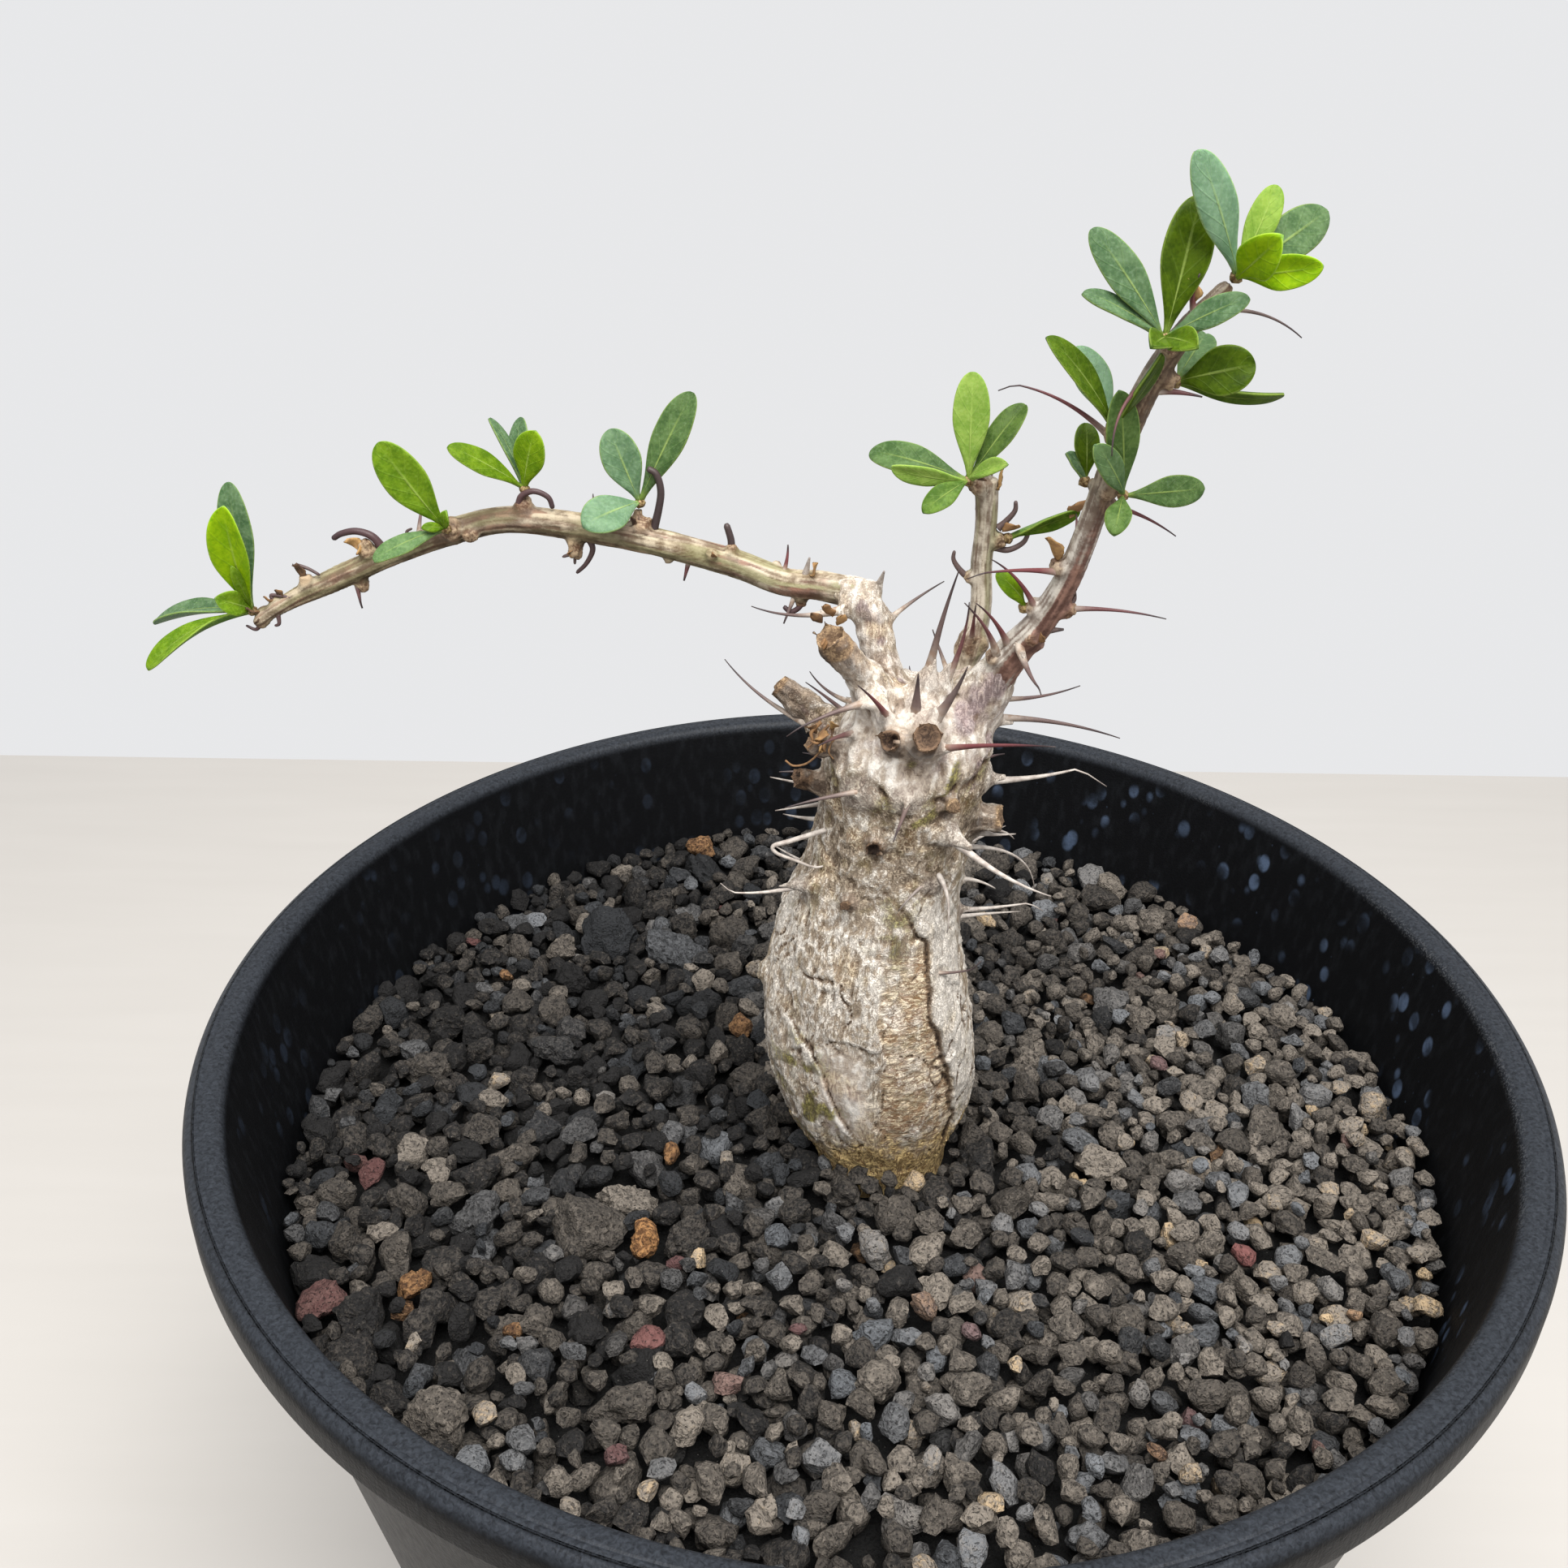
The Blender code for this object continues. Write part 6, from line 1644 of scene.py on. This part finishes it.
# %% Give the leaves' forms
GREY, GREEN, FRESH, DEEP = (0, 0, 0), (0.5, 0.25, 0), (1, 0, 0), (0.3, 1, 0)  # young, dark, pale
PALE, WAXY = (0.6, 0, 0.9), (0, 0, 0.9)
LEAVES = {  # tip from the bud, width, turn from facing the front, look, fold, curl, twist in degrees
    "left_tip": (
        ((-11.4, 0.8, -2), 3.2, 55, GREY, 0.5, 0.1, -20),
        ((-9.8, -5.4, -4.6), 3, 58, GREEN, 0.45, 0.16, 40), ((-1, 1.6, 13.2), 3.4, 8, GREY, 0.25, 0.03),
        ((0, -2.6, 12), 4, -8, FRESH, 0.55, 0.03, -14), ((-2, -3.4, 2.6), 2.6, 30, GREEN, 0.5, 0.1, 20),
        ((-0.3, -2.2, 5.6), 1.2, 30, GREEN, 0.3, 0.06)),
    "left_outer": (
        ((-5.5, -1.5, 9), 4.3, 0, GREEN, 0.16, 0.06),
        ((-6.7, -3.5, -2.4), 2.4, 25, (0.2, 0.15, 0.2), 0.24, 0.1),
        ((0.4, -1, 2.2), 1.2, 0, GREEN, 0.4, 0.1, 20), ((-2, -1.6, 0.6), 1.1, 10, GREEN, 0.4, 0.1)),
    "left_middle": (
        ((-6.5, -3, 5), 2.7, 36, (0.6, 0.45, 0), 0.18, 0.05), ((-3.5, 2, 6.6), 1.8, 58, GREY, 0.3, 0.05),
        ((-1, 4, 6.2), 2.6, -20, GREY, 0.2, 0.07), ((1.7, -1, 6.2), 3.5, -8, (0.75, 0.3, 0), 0.14, 0.05)),
    "left_inner": (
        ((-2.9, 0.6, 7.2), 3.9, 6, (0, 0, 0.25), 0.22, 0.06),
        ((5.2, 2.6, 10.6), 3.7, -8, (0.06, 0.4, 0), 0.2, 0.04),
        ((-4.8, -5, -0.9), 4.2, 14, (0, 0, 0.6), 0.1, 0.1)),
    "middle_top": (
        ((-0.3, 1.6, 9.9), 3.5, 0, PALE, 0.14, 0.03), ((5, 3.4, 6.6), 2.8, -22, (0.1, 0.7, 0), 0.3, 0.05),
        ((-9.6, 4.4, 1.3), 3.4, 20, (0.1, 0.3, 0), 0.18, 0.09),
        ((-7.4, -1.6, 1.5), 2.1, -30, PALE, 0.35, 0.08, 20),
        ((3.2, -3.2, 2.7), 1.9, -40, PALE, 0.5, 0.08, -20),
        ((-4.2, -2.6, -2.4), 2.4, 12, (0.3, 0.2, 0), 0.34, 0.16)),
    "middle_side": (((6.4, -2, 3.6), 1.9, 66, (0.4, 0.4, 0), 0.5, -0.06, 25),),
    "right_low": (((-2.8, -0.6, 3.6), 1.9, 24, (0.7, 0.5, 0), 0.3, 0.22, 20),),
    "right_first": (
        ((7.5, 2.6, 0.1), 2.8, 8, (0.1, 0.4, 0), 0.12, 0.04),
        ((-0.8, -3.2, -2.5), 2.3, 10, (0.2, 0.3, 0), 0.34, 0.12),
        ((-3.2, -3.2, 5.2), 2.4, 10, (0.05, 0.25, 0), 0.2, 0.1),
        ((-1.6, -1.8, 9.4), 3, 6, (0.1, 0.55, 0), 0.2, 0.06)),
    "right_second": (
        ((-6.2, -1.4, 7.6), 2.6, 26, (0.4, 0.75, 0), 0.35, 0.1),
        ((-3.2, 3.6, 5.9), 3.2, 10, WAXY, 0.2, 0.06), ((3, -2.4, 6.6), 1.7, 58, (0.3, 0.9, 0), 0.3, 0.03)),
    "right_rear": (
        ((-0.2, 2.6, 4.6), 2.4, 10, DEEP, 0.2, 0.05), ((-1.8, 0.8, 2.4), 1.5, 40, GREY, 0.3, 0.1)),
    "right_third": (
        ((-6.6, 0.6, 8.2), 3, 4, GREY, 0.18, 0.07), ((1.8, 2.6, 10.6), 4, 0, DEEP, 0.16, 0.04, 6),
        ((-6.9, -0.6, 3.6), 1.9, 28, GREY, 0.3, 0.07), ((5.8, -1.8, 3.7), 2.4, -18, GREY, 0.25, 0.09),
        ((1.8, -4.4, 0.4), 2.4, 0, (0.45, 0.7, 0), 0.45, 0.06),
        ((-1.6, -4.2, 0.3), 2.4, 8, (0.4, 0.75, 0), 0.4, 0.06)),
    "right_back": (
        ((6, -1.4, 1.9), 4.1, 4, (0.45, 0.92, 0), 0.16, 0.07),
        ((3, 5.4, 2.9), 3, -10, (0.2, 0.2, 0.3), 0.25, 0.07),
        ((9.8, 2.6, -1.6), 1.6, 66, (0.3, 0.8, 0), 0.3, 0.1)),
    "right_tip": (
        ((-4.8, -2.8, 9.4), 3.3, 4, WAXY, 0.14, 0.06),
        ((2.6, 2.4, 6.6), 2.5, 0, (0.6, 0.1, 0.6), 0.3, 0.04),
        ((7.6, 5.2, 4.5), 3.7, 4, (0, 0.2, 0), 0.12, 0.05),
        ((1.9, -4.6, 3.7), 3.4, 14, FRESH, 0.5, 0.08, 10), ((5.6, -3.6, 1.5), 2.7, 22, FRESH, 0.5, 0.08)),
}
LEAF_RINGS = 24
LEAF_SIDES = 16
BLADE_THICKNESS = 0.32
FRONT = (0, -1, 0.45)
STALK = 0.13
WIDEST = 0.6
BUD_SIZE = 0.55


def leaf(foot, reach, width, turn, look, fold, curl, twist=0, seed=0):
    """A blade. Up to its widest place its half width rises by a smooth step from the stalk's, and beyond it
    the outline is a quarter of a superellipse, sqrt(1 - t^2.2), so the tip is round. The sides rise by the
    fold on both sides of the midrib, and the whole arches by curl*4v(1-v)."""
    reach = np.array(reach, float)
    length = np.linalg.norm(reach)
    along = reach / length
    face = np.array(FRONT) - along * (np.array(FRONT) @ along)
    face = np.array(Matrix.Rotation(math.radians(turn), 3, Vector(along)) @ Vector(unit(face)))
    v = (1 - (1 - np.linspace(0, 1, LEAF_RINGS + 1)[:-1])**1.8)[:, None]
    angle = np.arange(LEAF_SIDES) * TAU / LEAF_SIDES
    u, lift = np.cos(angle)[None], np.sin(angle)[None]
    growing = STALK + (1 - STALK) * ramp(v, 0.04, WIDEST)**0.85
    ending = np.sqrt(1 - np.clip((v - WIDEST) / (1 - WIDEST), 0, 1)**2.2)
    half = width / 2 * growing * ending
    wave = 0.07 * width * noise(np.stack([v * 3.5 + 0 * u, u * 1.2 + 0 * v, 0 * v * u + seed], -1), 130)
    crown = np.sqrt(np.clip(1 - u * u, 0, 1))
    thick = BLADE_THICKNESS * (0.5 + 0.5 * crown) * np.sign(lift) * np.abs(lift)**0.6 * (0.5 + 0.5 * ending)
    bent = np.sqrt(u * u + 0.02) - 0.14
    arch = curl * length * 4 * v * (1 - v) * 0.5 - 0.02 * length * v**4
    rise = fold * half * bent * 1.3 + arch + wave * np.abs(u)
    sit = length * v + 0 * lift
    roll = np.radians(twist) * (v - 0.3)
    side = np.cross(along, face)
    across, outward = u * half, rise + thick
    points = (sit[..., None] * along + (across * np.cos(roll) - outward * np.sin(roll))[..., None] * side
              + (across * np.sin(roll) + outward * np.cos(roll))[..., None] * face)
    ends = (points[0].mean(0), points[-1].mean(0) + along * 0.02)
    young, dark, pale = look
    return skin(foot + ends[0], foot + points, foot + ends[1], u=u + 0 * v, v=v + 0 * u, young=young,
                dark=dark, pale=pale, under=(lift < 0) * 1.0 + 0 * v, tan=0.0)


def bud(middle, size):
    """A small tan lump of bud scales."""
    d, tris = ball(2)
    lumpy = 1 + 0.25 * noise(d * 2.6 + middle, 6)
    return Surface(middle + d * lumpy[:, None] * size, (), tris, u=0.5, v=0.5, young=0.3, dark=0.0, pale=0.0,
                   under=0.0, tan=1.0)


# %% [markdown]
# A leaf is a little translucent and waxy. Its colour comes from its age; the midrib and the edge are paler,
# side veins show faintly, and fine specks of bloom scatter the light.

# %% Finish the leaves
def leaf_finish():
    finish = Finish("fleshy_leaf", Roughness=0.45, Specular_IOR_Level=0.07, Subsurface_Weight=0.1,
                    Subsurface_Scale=0.0012)
    finish.shader.inputs["Subsurface Radius"].default_value = (0.35, 0.9, 0.12)
    u, v, young, dark, under = (finish.tag(name) for name in ("u", "v", "young", "dark", "under"))
    out = finish.node("ShaderNodeMath", {"operation": "ABSOLUTE"}, {0: u})
    bloom = finish.noise(0.3, 4)
    cloud = finish.noise(1.4, 3)
    tone = cloud * 0.6 + bloom * 0.4
    shade = tone.step(0.35, 0.65)
    old = finish.mix((0.042, 0.086, 0.036), (0.092, 0.152, 0.072), shade)
    middling = finish.mix((0.068, 0.142, 0.004), (0.142, 0.242, 0.01), shade)
    fresh = finish.mix((0.128, 0.245, 0.002), (0.216, 0.345, 0.004), shade)
    deep = finish.mix((0.024, 0.046, 0.001), (0.05, 0.086, 0.002), shade)
    waxy = finish.mix((0.112, 0.2, 0.115), (0.165, 0.27, 0.165), shade)
    lime = finish.mix((0.128, 0.218, 0.034), (0.202, 0.292, 0.062), shade)
    base = old.to(middling, young.step(0.0, 0.55)).to(fresh, young.step(0.45, 1.0)).to(deep, dark)
    base = base.to(waxy.to(lime, young.step(0.2, 0.5)), finish.tag("pale"))
    base = base.to((0.232, 0.344, 0.264), bloom.step(0.52, 0.72) * (1 - young) * (1 - dark) * 0.11)
    base = base.to((0.184, 0.32, 0.168), under * (1 - dark) * 0.3)
    slant = v * 17.0 - out * 4.5
    vein = finish.node("ShaderNodeMath", {"operation": "SINE"}, {0: slant * 2.0}).step(0.86, 1.0)
    base = base.to((0.28, 0.4, 0.11), vein * out.step(0.95, 0.3) * 0.042)
    midrib = out.step(0.085, 0.02) * v.step(1.0, 0.35)
    base = base.to((0.336, 0.43, 0.11), midrib * 0.39)
    base = base.to((0.368, 0.47, 0.11), out.step(0.9, 0.99) * 0.33)
    base = base.to((0.208, 0.288, 0.056), v.step(0.16, 0.02) * 0.7)
    brown = finish.mix((0.085, 0.05, 0.022), (0.3, 0.215, 0.105), bloom.step(0.4, 0.6))
    base = base.to(brown, finish.tag("tan"))
    height = bloom * 0.4 + cloud * 0.3 - vein * 0.25 - midrib * 0.8
    gloss = bloom * 0.25 + 0.36 - dark * 0.08
    return finish.into(Base_Color=base, Roughness=gloss, Normal=finish.bump(height, 0.07))


# %% Grow the leaves
fleshy = leaf_finish()
for shoot, rows in LEAVES.items():
    middle = shoot_bud(shoot)
    blades = [leaf(middle, *row, seed=7 * k + len(shoot)) for k, row in enumerate(rows)]
    make_piece(f"tuft_{shoot}", join([*blades, bud(middle, BUD_SIZE)]), fleshy, "leaf", f"leaves_{shoot}")

# %% [markdown]
# ## Floor and light
# The plant stood in soft daylight: a bright sky overhead and a little brighter from the front, with hardly
# a shadow. A pale sky all round and one large soft lamp above give that. The floor is a plain pale board
# that ends behind the pot at the height where the picture's table meets its wall.

# %% Set the floor and the light
FLOOR_SIZE = (1400.0, 900.0)
FLOOR_BACK = 280.0
BOARD_EDGE = 30.0
SKY_COLOUR = (0.945, 0.95, 0.965, 1)
SKY_STRENGTH = 0.85
LAMP_AT = (70, -250, 740)
LAMP_AIM = (0, 0, 120)
LAMP_SIZE = 520
LAMP_POWER = 10.5
LAMP_COLOUR = (1.0, 0.985, 0.96)


def board_finish():
    finish = Finish("pale_board", Roughness=0.6)
    base = finish.mix((0.425, 0.405, 0.38), (0.455, 0.435, 0.41), finish.noise((60, 8, 8), 3))
    return finish.into(Base_Color=base)


width, depth = FLOOR_SIZE
middle = FLOOR_BACK - depth / 2
corners = ((-0.5, -0.5), (0.5, -0.5), (0.5, 0.5), (-0.5, 0.5))
layers = np.array([[(width * x, middle + depth * y, z) for x, y in corners] for z in (-BOARD_EDGE, 0)])
floor_skin = skin((0, middle, -BOARD_EDGE), layers, (0, middle, 0))
floor = add_object("floor", make_mesh("floor", floor_skin))
floor.rotation_euler.z = TURNS_LEFT
floor.data.shade_flat()
floor.data.materials.append(board_finish())

sky = bpy.data.worlds.new("sky")
sky.use_nodes = True
sky.node_tree.nodes["Background"].inputs["Color"].default_value = SKY_COLOUR
sky.node_tree.nodes["Background"].inputs["Strength"].default_value = SKY_STRENGTH
bpy.context.scene.world = sky
bpy.context.scene.view_settings.view_transform = "Standard"

light = bpy.data.lights.new("overhead", "AREA")
light.size = LAMP_SIZE * MM
light.energy = LAMP_POWER
light.color = LAMP_COLOUR
lamp = add_object("overhead", light)
lamp.location = Vector(LAMP_AT) * MM
lamp.rotation_euler = (Vector(LAMP_AIM) - Vector(LAMP_AT)).to_track_quat("-Z", "Y").to_euler()
print("floor and light are set")
